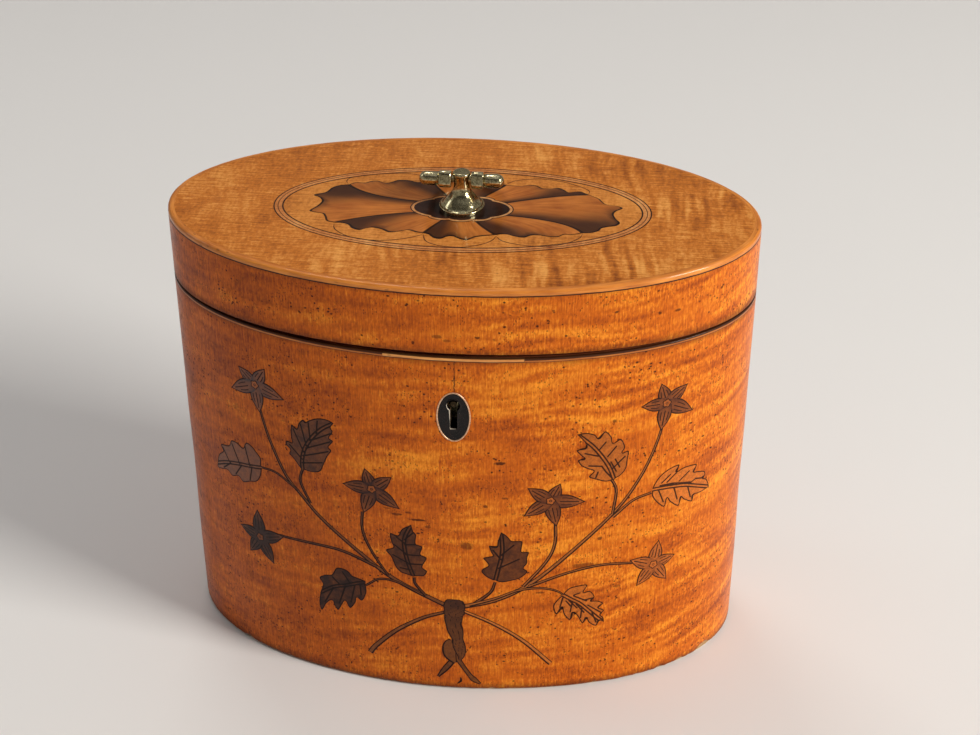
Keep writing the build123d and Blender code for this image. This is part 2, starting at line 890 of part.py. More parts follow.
def eye_shape():
    """Dark oval in the middle of the patera."""
    return Rot(0, 0, patera_turn) * Ellipse(eye_half_width, eye_half_depth)


def petal_shape(edge):
    """Flat petal: two straight sides from the middle and a scalloped outer edge."""
    return make_face(Spline(*edge) + Polyline(edge[-1], (0, 0), edge[0]))


def patera_petals():
    """Eight sand-shaded petals round the dark oval."""
    return [inlay(petal_shape(edge) - eye_shape()) for edge in petal_edges]


def patera_ground():
    """Satinwood ground round the petals."""
    flower_edges = [Spline(*edge) for edge in petal_edges]
    return inlay(patera_oval(patera_ring_width) - make_face(flower_edges))


def patera_eye():
    """Dark oval in the middle, under the handle."""
    return inlay(eye_shape()) - shank_hole(board_high, top)


# Handle

def handle_post():
    """Turned brass post with a flared foot and a flat top, and its threaded shank."""
    waist_height = pivot_height - boss_radius - foot_edge
    foot = Spline(
        (foot_radius - foot_edge / 2, top + foot_edge),
        ((foot_radius + stem_radius) / 2, top + foot_edge + waist_height / 3),
        (stem_radius, top + foot_edge + waist_height),
        tangents=[(-1, 0.25), (-0.05, 1)],
    )
    flare_low = top + post_height - 2 * (post_top_radius - stem_radius)
    shape = Polyline((stem_radius, top + foot_edge + waist_height), (stem_radius, flare_low))
    flare = Line((stem_radius, flare_low), (post_top_radius, top + post_height - foot_edge / 2))
    cap = Polyline(
        (post_top_radius, top + post_height - foot_edge / 2),
        (post_top_radius, top + post_height),
        (0, top + post_height),
        (0, board_low),
        (stem_radius, board_low),
        (stem_radius, top),
        (foot_radius, top),
        (foot_radius, top + foot_edge / 2),
        (foot_radius - foot_edge / 2, top + foot_edge),
    )
    profile = make_face(foot + shape + flare + cap)
    post = revolve(Plane.XZ * profile, Axis.Z)
    return post - rod((-half_width, 0, pivot_z), (1, 0, 0), bail_pin_radius, 2 * half_width)


def bail_reach():
    """Distance from the post's axis to the outer end of a boss."""
    return stem_radius + boss_gap + boss_length


def bail_pin():
    """Pin through the post that the bail swings on."""
    reach = bail_reach() - boss_length / 4
    return rod((-reach, 0, pivot_z), (1, 0, 0), bail_pin_radius, 2 * reach)


def handle_bail():
    """Loop handle lying back: two bosses, two arms and a U-shaped bar."""
    straight = loop_reach - arm_reach
    path = Polyline((arm_reach, 0), (arm_reach, straight))
    path += ThreePointArc((arm_reach, straight), (0, loop_reach), (-arm_reach, straight))
    path += Polyline((-arm_reach, straight), (-arm_reach, 0))
    section = Plane(origin=(arm_reach, 0, 0), z_dir=(0, 1, 0)) * Circle(loop_radius)
    bail = sweep(section, path)
    for side in (-1, 1):
        start = stem_radius + boss_gap
        boss = rod((side * start, 0, 0), (side, 0, 0), boss_radius, boss_length)
        boss = fillet(boss.edges().filter_by(GeomType.CIRCLE), boss_length / 8)
        arm_start = bail_reach() - boss_length / 4
        bail += boss
        bail += rod((side * arm_start, 0, 0), (side, 0, 0), arm_radius, arm_reach - arm_start)
        bail += Pos(side * arm_reach, 0, 0) * Sphere(arm_radius)
        bore_length = boss_length * 3 / 4 + running_gap
        bail -= rod((side * start, 0, 0), (side, 0, 0), bail_pin_radius + running_gap, bore_length)
    return Pos(0, 0, pivot_z) * Rot(-loop_tilt, 0, 0) * bail


def handle_washer():
    """Washer over the nut, in the recess under the lid's board."""
    low = board_low + nut_thickness
    washer = rod((0, 0, low), (0, 0, 1), washer_radius, washer_thickness)
    return washer - shank_hole(low, low + washer_thickness)


def handle_nut():
    """Square nut on the shank."""
    half = nut_width / 2
    nut = block(-half, half, -half, half, board_low, board_low + nut_thickness)
    return nut - shank_hole(board_low, board_low + nut_thickness)


# Inner lid

def inner_lid():
    """Loose oval lid that rests on the lining."""
    plate = oval_block(wall_in + inner_lid_gap, ledge, ledge + inner_lid_thickness)
    return plate - rod((0, 0, ledge), (0, 0, 1), knob_dowel_radius, inner_lid_thickness)


def inner_lid_knob():
    """Turned knob with a dowel through the inner lid."""
    seat = ledge + inner_lid_thickness
    ball = seat + knob_height - knob_radius
    neck = seat + (ball - seat) / 2
    profile = make_face(Polyline(
        (0, ledge),
        (knob_dowel_radius, ledge),
        (knob_dowel_radius, seat),
        (knob_foot_radius, seat),
        (knob_foot_radius, seat + knob_foot_edge),
        (knob_neck_radius, neck),
        (knob_neck_radius, ball),
        (0, ball),
        close=True,
    ))
    return revolve(Plane.XZ * profile, Axis.Z) + Pos(0, 0, ball) * Sphere(knob_radius)


def all_nodes():
    """Every piece by its name."""
    spray = spray_shapes()
    front = front_veneer_slice()
    nodes = {
        "carcass_wall": carcass_wall(),
        "base_board": base_board(),
        "body_veneer": body_veneer(spray),
        "rim_stringing": rim_stringing(),
        "lock_patch": lock_patch(),
        "rim_banding": rim_banding(),
        "ledge_lining": ledge_lining(),
        "foil_wall": foil_wall(),
        "foil_floor": foil_floor(),
        "escutcheon": escutcheon(),
        "escutcheon_rim": escutcheon_rim(),
        "lock_plate": lock_plate(),
        "lock_case": lock_case(),
        "bolt_stump": bolt_stump(),
        "lock_bolt": lock_bolt(),
        "bolt_spring": bolt_spring(),
        "key_pin": key_pin(),
        "lock_ward": lock_ward(),
        "lock_screws": lock_screws(),
        "link_plate": link_plate(),
        "link_screws": [screw(point, (0, 0, 1)) for point in link_screw_points()],
        "hinge_body_screws": [screw(point, (0, 0, -1)) for point in hinge_screw_points(body_height)],
        "hinge_lid_screws": [screw(point, (0, 0, 1)) for point in hinge_screw_points(lid_low_middle)],
        "lid_wall": lid_wall(),
        "lid_rim_banding": lid_rim_banding(),
        "lid_veneer": lid_veneer(),
        "lid_board": lid_board(),
        "lid_top_veneer": lid_top_veneer(),
        "lid_stringing": lid_stringing(),
        "patera_ground": patera_ground(),
        "patera_petals": patera_petals(),
        "patera_eye": patera_eye(),
        "patera_dark_lines": patera_dark_lines(),
        "patera_light_line": patera_light_line(),
        "handle_post": handle_post(),
        "bail_pin": bail_pin(),
        "handle_bail": handle_bail(),
        "handle_washer": handle_washer(),
        "handle_nut": handle_nut(),
        "inner_lid": inner_lid(),
        "inner_lid_knob": inner_lid_knob(),
    }
    for part_name, shape in spray.items():
        nodes["spray_" + part_name] = front & shape
    for side, x in hinge_places().items():
        nodes["hinge_" + side + "_body_leaf"] = hinge_body_leaf(x)
        nodes["hinge_" + side + "_lid_leaf"] = hinge_lid_leaf(x)
        nodes["hinge_" + side + "_pin"] = hinge_pin(x)
    return nodes


os.makedirs("parts", exist_ok=True)
for node, shape in all_nodes().items():
    pieces = shape if isinstance(shape, list) else [shape]
    solids = [solid for piece in pieces for solid in piece.solids()]
    export_step(solids[0] if len(solids) == 1 else Compound(solids), "parts/" + node + ".step")
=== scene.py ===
import logging
from collections.abc import Mapping, Sequence
from dataclasses import dataclass
from enum import Enum
from typing import Any

import bmesh
import bpy
import numpy as np
from mathutils import Matrix


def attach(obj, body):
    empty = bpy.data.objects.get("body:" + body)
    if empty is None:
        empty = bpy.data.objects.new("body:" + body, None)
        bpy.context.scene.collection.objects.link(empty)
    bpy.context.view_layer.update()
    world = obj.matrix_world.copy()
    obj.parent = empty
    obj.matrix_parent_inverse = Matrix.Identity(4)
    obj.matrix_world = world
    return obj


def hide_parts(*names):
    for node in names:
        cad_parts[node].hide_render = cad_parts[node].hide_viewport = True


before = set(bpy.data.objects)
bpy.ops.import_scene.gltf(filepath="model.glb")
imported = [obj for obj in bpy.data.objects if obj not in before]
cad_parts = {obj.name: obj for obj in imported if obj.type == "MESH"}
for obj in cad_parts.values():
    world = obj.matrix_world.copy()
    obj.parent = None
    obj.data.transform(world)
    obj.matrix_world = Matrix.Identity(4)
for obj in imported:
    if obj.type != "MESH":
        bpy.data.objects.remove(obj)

# Oval tea caddy of satinwood. Lengths are in millimetres until a mesh is made.
# X runs along the long axis, Y to the back, Z up; the front is at minus Y.

Array = np.ndarray
Colour = tuple[float, float, float, float]
Point = tuple[float, float]
Triple = tuple[float, float, float]
Material = bpy.types.Material

MM = 0.001
PLAN = "plan"
NOWHERE = 1000.0
log = logging.getLogger("tea_caddy")


def srgb(red: int, green: int, blue: int) -> Colour:
    """Linear colour of a display colour: each channel c becomes ((c + 0.055) / 1.055) to the power 2.4.

    Args:
        red: Red channel, 0 to 255.
        green: Green channel, 0 to 255.
        blue: Blue channel, 0 to 255.

    Returns:
        The colour with an alpha of 1.
    """
    channels = np.array([red, green, blue]) / 255
    linear = np.where(channels <= 0.04045, channels / 12.92, ((channels + 0.055) / 1.055) ** 2.4)
    return (*map(float, linear), 1.0)


# Shader values and the bench that adds their nodes


class Term:
    """A value in a node tree. Arithmetic on it adds Math nodes."""

    def __init__(self, bench: "Bench", socket: bpy.types.NodeSocket) -> None:
        """Keep the socket that carries the value."""
        self.bench = bench
        self.socket = socket

    def __add__(self, other: "Term | float") -> "Term":
        """Sum."""
        return self.bench.math("ADD", self, other)

    def __radd__(self, other: float) -> "Term":
        """Sum with a number first."""
        return self.bench.math("ADD", other, self)

    def __sub__(self, other: "Term | float") -> "Term":
        """Difference."""
        return self.bench.math("SUBTRACT", self, other)

    def __rsub__(self, other: float) -> "Term":
        """Difference with a number first."""
        return self.bench.math("SUBTRACT", other, self)

    def __mul__(self, other: "Term | float") -> "Term":
        """Product."""
        return self.bench.math("MULTIPLY", self, other)

    def __rmul__(self, other: float) -> "Term":
        """Product with a number first."""
        return self.bench.math("MULTIPLY", other, self)

    def __truediv__(self, other: "Term | float") -> "Term":
        """Quotient."""
        return self.bench.math("DIVIDE", self, other)

    def __pow__(self, other: float) -> "Term":
        """Power."""
        return self.bench.math("POWER", self, other)

    def __abs__(self) -> "Term":
        """Size without its sign."""
        return self.bench.math("ABSOLUTE", self)


class Bench:
    """The node tree of one finish, or of the world."""

    def __init__(self, name: str = "", tree: bpy.types.NodeTree | None = None) -> None:
        """Start an empty material, or work in a tree that is there.

        Args:
            name: Name of the material.
            tree: Tree to work in instead of a new material's.
        """
        if tree is None:
            self.material = bpy.data.materials.new(name)
            self.material.use_nodes = True
            tree = self.material.node_tree
            tree.nodes.clear()
        self.tree = tree

    def node(
        self,
        kind: str,
        settings: Mapping[str, Any] | None = None,
        inputs: Mapping[str | int, Any] | None = None,
        output: str | int = 0,
    ) -> Term:
        """Add a node.

        Args:
            kind: Type of the node.
            settings: Its settings; "stops" holds a ramp's places and colours.
            inputs: Values or terms for its sockets, by name or index.
            output: The socket that is wanted.

        Returns:
            The wanted output.
        """
        made = self.tree.nodes.new(kind)
        for name, value in (settings or {}).items():
            if name == "stops":
                self._fill_ramp(made.color_ramp, value)
            else:
                setattr(made, name, value)
        for name, value in (inputs or {}).items():
            if isinstance(value, Term):
                self.tree.links.new(value.socket, made.inputs[name])
            else:
                made.inputs[name].default_value = value
        return Term(self, made.outputs[output])

    @staticmethod
    def _fill_ramp(ramp: bpy.types.ColorRamp, stops: Sequence[tuple[float, Colour]]) -> None:
        """Set the places and colours of a ramp.

        Args:
            ramp: The ramp.
            stops: Place and colour of each stop.
        """
        while len(ramp.elements) < len(stops):
            ramp.elements.new(1.0)
        for element, (place, colour) in zip(ramp.elements, stops):
            element.position = place
            element.color = colour

    def math(self, operation: str, *values: "Term | float") -> Term:
        """Math node on one, two or three values."""
        return self.node("ShaderNodeMath", {"operation": operation}, dict(enumerate(values)))

    def larger(self, first: Term, second: "Term | float") -> Term:
        """The larger of two values."""
        return self.math("MAXIMUM", first, second)

    def step(self, value: Term, low: float, high: float) -> Term:
        """Smooth step from 0 at low to 1 at high; low may be the larger number."""
        return self.node(
            "ShaderNodeMapRange",
            {"interpolation_type": "SMOOTHSTEP", "clamp": True},
            {"Value": value, "From Min": low, "From Max": high, "To Min": 0.0, "To Max": 1.0},
        )

    def band(self, value: Term, middle: float, half: float, soft: float) -> Term:
        """1 within half of the middle, falling to 0 over a soft width."""
        return self.step(abs(value - middle), half + soft, half)

    def combine(self, x: "Term | float", y: "Term | float", z: "Term | float" = 0.0) -> Term:
        """Vector from three values."""
        return self.node("ShaderNodeCombineXYZ", inputs={0: x, 1: y, 2: z})

    def parts(self, vector: Term) -> tuple[Term, Term, Term]:
        """The three values of a vector."""
        split = self.node("ShaderNodeSeparateXYZ", inputs={0: vector})
        outputs = split.socket.node.outputs
        return split, Term(self, outputs[1]), Term(self, outputs[2])

    def object_place(self) -> Term:
        """Place on the object, in millimetres."""
        place = self.node("ShaderNodeTexCoord", output="Object")
        return self.node("ShaderNodeVectorMath", {"operation": "SCALE"}, {0: place, "Scale": 1 / MM})

    def skin_place(self) -> Term:
        """Place on the piece's own plan, in millimetres: along the case, then up."""
        place = self.node("ShaderNodeUVMap", {"uv_map": PLAN})
        return self.node("ShaderNodeVectorMath", {"operation": "SCALE"}, {0: place, "Scale": 1 / MM})

    def value_of(self, name: str) -> Term:
        """A value that the piece's mesh carries."""
        return self.node("ShaderNodeAttribute", {"attribute_name": name}, output="Fac")

    def noise(self, vector: Term, scale: float = 1.0, detail: float = 2.0, rough: float = 0.5) -> Term:
        """Cloudy pattern from about 0.2 to 0.8."""
        return self.node(
            "ShaderNodeTexNoise",
            {"noise_dimensions": "3D"},
            {"Vector": vector, "Scale": scale, "Detail": detail, "Roughness": rough},
        )

    def dots(self, vector: Term, scale: float = 1.0, share: float = 0.5, size: float = 0.2) -> Term:
        """Dots in a share of the cells of a scattered pattern.

        Args:
            vector: Place.
            scale: Cells to a unit of the place.
            share: Share of the cells that hold a dot.
            size: Radius of a dot, in cells.

        Returns:
            1 inside a dot, 0 outside.
        """
        near = self.node("ShaderNodeTexVoronoi", {"feature": "F1"}, {"Vector": vector, "Scale": scale})
        chance = self.parts(Term(self, near.socket.node.outputs["Color"]))[0]
        return self.step(near, size, size * 0.5) * self.step(chance, share + 0.02, share - 0.02)

    def ramp(self, value: Term, *stops: tuple[float, Colour]) -> Term:
        """Colour along a row of stops."""
        return self.node("ShaderNodeValToRGB", {"stops": stops}, {"Fac": value})

    def mix(self, share: "Term | float", first: "Term | Colour", second: "Term | Colour") -> Term:
        """Blend of two colours; a share of 1 gives the second."""
        return self.node("ShaderNodeMix", {"data_type": "RGBA"}, {0: share, 6: first, 7: second}, 2)

    def bump(self, height: Term, depth: float, strength: float = 1.0) -> Term:
        """Normal of a relief whose height of 1 stands for a depth in millimetres."""
        return self.node(
            "ShaderNodeBump",
            inputs={"Strength": strength, "Distance": depth * MM, "Height": height},
            output="Normal",
        )

    def finish(self, colour: "Term | Colour", **sockets: "Term | float | Colour") -> Material:
        """Close the tree with the main shader.

        Args:
            colour: Base colour.
            sockets: Values for the shader's other sockets, with _ for a space.

        Returns:
            The material.
        """
        inputs = {"Base Color": colour}
        for name, value in sockets.items():
            inputs[name.replace("_", " ")] = value
        shader = self.node("ShaderNodeBsdfPrincipled", inputs=inputs, output="BSDF")
        out = self.tree.nodes.new("ShaderNodeOutputMaterial")
        self.tree.links.new(shader.socket, out.inputs["Surface"])
        return self.material


# Finishes


@dataclass(frozen=True)
class Mark:
    """A dark spot in the veneer: place, half sizes and strength."""

    across: float
    up: float
    half_across: float
    half_up: float
    strength: float = 0.8


@dataclass(frozen=True)
class SideVeneer:
    """Polished satinwood on the upright faces: fine upright grain under a soft level ripple."""

    name: str
    dark: Colour = srgb(140, 56, 4)
    middle: Colour = srgb(204, 98, 8)
    light: Colour = srgb(248, 154, 38)
    stain: Colour = srgb(44, 14, 4)
    foot_line: float = -NOWHERE
    top_line: float = NOWHERE
    crack_at: float = NOWHERE
    crack_foot: float = 0.0
    marks: tuple[Mark, ...] = ()

    def make(self) -> Material:
        """Make the material."""
        bench = Bench(self.name)
        place = bench.skin_place()
        along, up, _ = bench.parts(place)
        drift = bench.noise(place, 0.028, 1.0)
        rise = bench.step(along, 0.0, 150.0) * 75
        level = up - 0.07 * along - 0.0016 * rise * rise + (drift - 0.5) * 9
        ripple = bench.noise(bench.combine(along * 0.045, level * 0.42, 9.0), 1.0, 1.0, 0.4)
        broad = bench.noise(bench.combine(along * 0.022, level * 0.1, 2.0), 1.0, 1.0)
        patch = bench.step(bench.noise(place, 0.05, 1.0), 0.36, 0.6) * bench.step(along, -60.0, 45.0)
        patch = patch * bench.step(along, 176.0, 110.0)
        # Painted shade: the veneer grows darker from the right of the front towards the left end and round
        # the back.
        shade = bench.larger(bench.step(along, 25.0, -65.0), bench.step(along, 100.0, 172.0))
        grain = bench.noise(bench.combine(along * 3.2, up * 0.22, 1.0), 1.0, 2.0, 0.6)
        strokes = bench.noise(bench.combine(along * 1.1, up * 0.06, 5.0), 1.0, 2.0, 0.6)
        sway = (bench.noise(place, 0.16, 2.0) - 0.5) * 2.4
        fleck = bench.noise(bench.combine(along * 1.5 + sway, up * 0.75 - along * 0.22, 6.0), 1.0, 2.5, 0.62)
        cloud = bench.noise(place, 0.09, 4.0, 0.6)
        tone = (
            0.53
            - 0.16 * shade
            + (ripple - 0.5) * (0.4 + 0.7 * patch)
            + (broad - 0.5) * 0.5
            + (grain - 0.5) * 0.75
            + (strokes - 0.5) * 0.35
            + (fleck - 0.5) * (0.6 + 0.55 * patch)
            + (cloud - 0.5) * 0.6
        )
        wood = bench.ramp(tone, (0.08, self.dark), (0.5, self.middle), (0.92, self.light))
        pores = bench.dots(bench.combine(along * 0.8 + sway, up * 0.85, 0.0), 1.0, 0.5, 0.32)
        fine = bench.dots(bench.combine(along * 2.2, up * 1.2 + sway, 3.0), 1.0, 0.42, 0.4)
        pore_patch = bench.step(bench.noise(place, 0.075, 3.0), 0.45, 0.58)
        fine_patch = bench.step(bench.noise(place, 0.13, 2.0), 0.42, 0.62)
        blots = bench.larger(pores * pore_patch * 0.9, fine * fine_patch * 0.75)
        mottle = bench.step(bench.noise(place, 0.3, 4.0, 0.7), 0.5, 0.68) * bench.step(along, 15.0, -60.0)
        blots = bench.larger(blots, mottle * 0.35)
        for mark in self.marks:
            blots = bench.larger(blots, self._mark(bench, along, up, mark))
        # Darker towards the foot line and towards the top line.
        worn = bench.step(up + (fleck - 0.5) * 2.0, self.foot_line + 2.6, self.foot_line)
        rim = bench.step(up + (cloud - 0.5) * 2.5, self.top_line - 2.2, self.top_line)
        blots = bench.larger(blots, bench.larger(worn * 0.6, rim * 0.5))
        crack = bench.band(along + (fleck - 0.5) * 0.8, self.crack_at, 0.05, 0.13)
        crack = crack * bench.step(up, self.crack_foot, self.crack_foot + 0.6)
        colour = bench.mix(bench.larger(blots, crack * 0.9), wood, self.stain)
        relief = ripple * 0.3 + grain * 0.3 + cloud * 0.5 + fleck * 0.3 - blots * 0.4 - crack
        return bench.finish(
            colour,
            Roughness=0.4 + (cloud - 0.5) * 0.25 + blots * 0.2,
            Specular_IOR_Level=0.08,
            Coat_Weight=0.24 - blots * 0.15,
            Coat_Roughness=0.1,
            Coat_IOR=1.46,
            Normal=bench.bump(relief, 0.09, 0.8),
        )

    @staticmethod
    def _mark(bench: Bench, along: Term, up: Term, mark: Mark) -> Term:
        """Soft oval spot with a ragged edge.

        Args:
            bench: Where its nodes go.
            along: Place along the case.
            up: Place up the case.
            mark: The spot.

        Returns:
            The spot's strength inside it, 0 outside.
        """
        across = (along - mark.across) / mark.half_across
        rise = (up - mark.up) / mark.half_up
        ragged = bench.noise(bench.combine(along, up, mark.up), 1.6, 2.0)
        distance = (across * across + rise * rise) ** 0.5 + (ragged - 0.5) * 1.1
        return bench.step(distance, 1.15, 0.65) * mark.strength


@dataclass(frozen=True)
class TopVeneer:
    """Polished satinwood on the lid: grain along the lid with soft curls across it."""

    name: str
    dark: Colour = srgb(142, 72, 18)
    middle: Colour = srgb(202, 116, 38)
    light: Colour = srgb(240, 166, 82)
    curl: float = 1.0

    def make(self) -> Material:
        """Make the material."""
        bench = Bench(self.name)
        place = bench.object_place()
        x, y, _ = bench.parts(place)
        drift = bench.noise(bench.combine(x * 0.025, y * 0.03), 1.0, 1.0)
        across = x + (drift - 0.5) * 8 + 0.1 * y
        curls = bench.noise(bench.combine(across * 0.42, y * 0.05, 5.0), 1.0, 1.5, 0.45)
        broad = bench.noise(bench.combine(x * 0.05, y * 0.02, 3.0), 1.0, 1.0)
        patch = bench.step(bench.noise(bench.combine(x * 0.03, y * 0.05, 8.0), 1.0, 1.0), 0.38, 0.6)
        ripe = 0.35 + 0.65 * bench.step(x - y, -50.0, 70.0)
        grain = bench.noise(bench.combine(x * 0.13, y * 1.9, 2.0), 1.0, 2.0, 0.6)
        weave = bench.noise(bench.combine(x * 1.1, y * 0.35, 4.0), 1.0, 2.0, 0.6)
        fleck = bench.noise(bench.combine(x * 1.2, y * 1.2, 6.0), 1.0, 3.0, 0.65)
        cloud = bench.noise(place, 0.07, 3.0, 0.6)
        tone = (
            0.5
            + (curls - 0.5) * (0.45 + 0.95 * patch) * ripe * self.curl
            + (broad - 0.5) * 0.4
            + (grain - 0.5) * 0.85
            + (weave - 0.5) * 0.5
            + (fleck - 0.5) * 0.6
            + (cloud - 0.5) * 0.6
        )
        wood = bench.ramp(tone, (0.12, self.dark), (0.5, self.middle), (0.88, self.light))
        pores = bench.dots(bench.combine(x * 0.5, y * 1.5), 1.0, 0.3, 0.2)
        specks = bench.step(bench.noise(place, 0.09, 2.0), 0.44, 0.62)
        colour = bench.mix(pores * specks * 0.6, wood, srgb(84, 36, 12))
        relief = curls * 0.3 + grain * 0.25 + cloud * 0.5 + fleck * 0.2 - pores * 0.4
        return bench.finish(
            colour,
            Roughness=0.42 + (cloud - 0.5) * 0.2,
            Specular_IOR_Level=0.1,
            Coat_Weight=0.3 - pores * 0.2,
            Coat_Roughness=0.1,
            Coat_IOR=1.46,
            Normal=bench.bump(relief, 0.05, 0.7),
        )


@dataclass(frozen=True)
class StringWood:
    """Pale wood of the lines, worn bright on the edge, with a dark glue line at its foot and a dark band over
    its upper part: on the lid's line a glue line at its inner edge, on the rim line and the patch painted
    shade of the joint under the lid.
    """

    name: str
    width: float
    dark: Colour = srgb(172, 88, 24)
    light: Colour = srgb(238, 150, 62)
    glue_and_shade: Colour = srgb(34, 12, 6)
    glue_low: float = 0.34
    shade_and_glue_high: float = 0.0

    def make(self) -> Material:
        """Make the material."""
        bench = Bench(self.name)
        place = bench.skin_place()
        along, across, _ = bench.parts(place)
        grain = bench.noise(bench.combine(along * 0.16, across * 3.0, 2.0), 1.0, 3.0, 0.6)
        cloud = bench.noise(bench.combine(along * 0.09, across * 0.5, 7.0), 1.0, 3.0)
        bruise = bench.dots(bench.combine(along * 0.3, across * 0.8), 1.0, 0.3, 0.22)
        tone = 0.5 + (grain - 0.5) * 0.7 + (cloud - 0.5) * 1.2
        wood = bench.ramp(tone, (0.15, self.dark), (0.8, self.light))
        ragged = (grain - 0.5) * 0.12
        seam = bench.step(across + ragged, self.glue_low + 0.08, self.glue_low - 0.06)
        # Dark band over the upper part: a glue line on the lid's line, painted shade of the joint under the
        # lid on the rim line and the patch.
        shade_and_glue_line = self.width - self.shade_and_glue_high
        upper = bench.step(across + ragged, shade_and_glue_line - 0.06, shade_and_glue_line + 0.08)
        dirt_and_shade = bench.larger(bench.larger(seam * 0.95, upper * 0.92), bruise * 0.4)
        return bench.finish(
            bench.mix(dirt_and_shade, wood, self.glue_and_shade),
            Roughness=0.32 + dirt_and_shade * 0.3,
            Specular_IOR_Level=0.15,
            Coat_Weight=0.45 - dirt_and_shade * 0.3,
            Coat_Roughness=0.12,
            Normal=bench.bump(cloud * 0.6 - seam - bruise * 0.5, 0.06, 0.7),
        )


@dataclass(frozen=True)
class PlainWood:
    """Unpolished or lightly waxed wood of the inner pieces, its grain along one axis."""

    name: str
    dark: Colour
    light: Colour
    grain_axis: int = 2
    rough: float = 0.55
    coat: float = 0.0
    line: float = 1.6

    def make(self) -> Material:
        """Make the material."""
        bench = Bench(self.name)
        place = bench.object_place()
        stretch = [self.line, self.line, self.line]
        stretch[self.grain_axis] = self.line * 0.045
        drawn = bench.node("ShaderNodeVectorMath", {"operation": "MULTIPLY"}, {0: place, 1: tuple(stretch)})
        grain = bench.noise(drawn, 1.0, 4.0, 0.6)
        rings = bench.noise(drawn, 0.16, 2.0)
        cloud = bench.noise(place, 0.06, 3.0)
        pores = bench.dots(drawn, 0.9, 0.4, 0.2)
        tone = 0.5 + (grain - 0.5) * 0.8 + (rings - 0.5) * 0.9 + (cloud - 0.5) * 0.7
        wood = bench.ramp(tone, (0.15, self.dark), (0.85, self.light))
        colour = bench.mix(pores * 0.5, wood, tuple(0.35 * c for c in self.dark[:3]) + (1.0,))
        return bench.finish(
            colour,
            Roughness=self.rough + (cloud - 0.5) * 0.2,
            Coat_Weight=self.coat,
            Coat_Roughness=0.25,
            Normal=bench.bump(grain * 0.7 - pores, 0.08, 0.7),
        )


@dataclass(frozen=True)
class DarkLine:
    """Stained wood of thin dark lines."""

    name: str
    dark: Colour = srgb(26, 10, 6)
    light: Colour = srgb(74, 34, 16)

    def make(self) -> Material:
        """Make the material."""
        bench = Bench(self.name)
        place = bench.object_place()
        worn = bench.noise(place, 0.22, 3.0, 0.6)
        fleck = bench.noise(place, 3.0, 3.0)
        colour = bench.ramp(worn * 0.75 + fleck * 0.25, (0.35, self.dark), (0.72, self.light))
        return bench.finish(
            colour,
            Roughness=0.4 + (worn - 0.5) * 0.2,
            Specular_IOR_Level=0.1,
            Coat_Weight=0.3,
            Coat_Roughness=0.1,
            Normal=bench.bump(fleck, 0.02, 0.5),
        )


@dataclass(frozen=True)
class ShadedPetal:
    """Petal scorched in hot sand: dark at one side and at the scalloped edge, fading to plain wood.

    The mesh carries shade (1 at the scorched side to 0 at the other), rim (distance to the
    scalloped edge, in millimetres) and flank (distance to the nearer side).
    """

    name: str
    wood_dark: Colour = srgb(158, 82, 28)
    wood_light: Colour = srgb(212, 128, 54)
    scorch: Colour = srgb(46, 22, 14)
    edge: Colour = srgb(14, 5, 3)

    def make(self) -> Material:
        """Make the material."""
        bench = Bench(self.name)
        place = bench.object_place()
        across, out, _ = bench.parts(bench.skin_place())
        shade_side = bench.value_of("shade")
        rim = bench.value_of("rim")
        flank = bench.value_of("flank")
        streak = bench.noise(bench.combine(across * 1.2, out * 0.1, 3.0), 1.0, 3.0, 0.6)
        cloud = bench.noise(place, 0.16, 3.0)
        tone = 0.5 + (streak - 0.5) * 1.1 + (cloud - 0.5) * 0.8
        wood = bench.ramp(tone, (0.2, self.wood_dark), (0.8, self.wood_light))
        spread = bench.step(rim, 14.0, 1.0) * 0.19
        smoke = bench.step(shade_side + spread + (cloud - 0.5) * 0.25 + (streak - 0.5) * 0.16, 0.48, 0.99)
        tips = bench.step(rim + (cloud - 0.5) * 1.6, 4.4, 0.3) * bench.step(shade_side, 0.08, 0.7)
        dark = bench.larger(smoke * 0.92, tips * 0.96)
        toned = bench.mix(dark, wood, self.scorch)
        outline = bench.larger(bench.step(rim, 0.62, 0.4), bench.step(flank, 0.46, 0.26))
        colour = bench.mix(outline * 0.93, toned, self.edge)
        return bench.finish(
            colour,
            Roughness=0.4 + (cloud - 0.5) * 0.15,
            Specular_IOR_Level=0.1,
            Coat_Weight=0.3,
            Coat_Roughness=0.1,
            Normal=bench.bump(streak * 0.4 + cloud * 0.5 - outline * 0.6, 0.04, 0.6),
        )


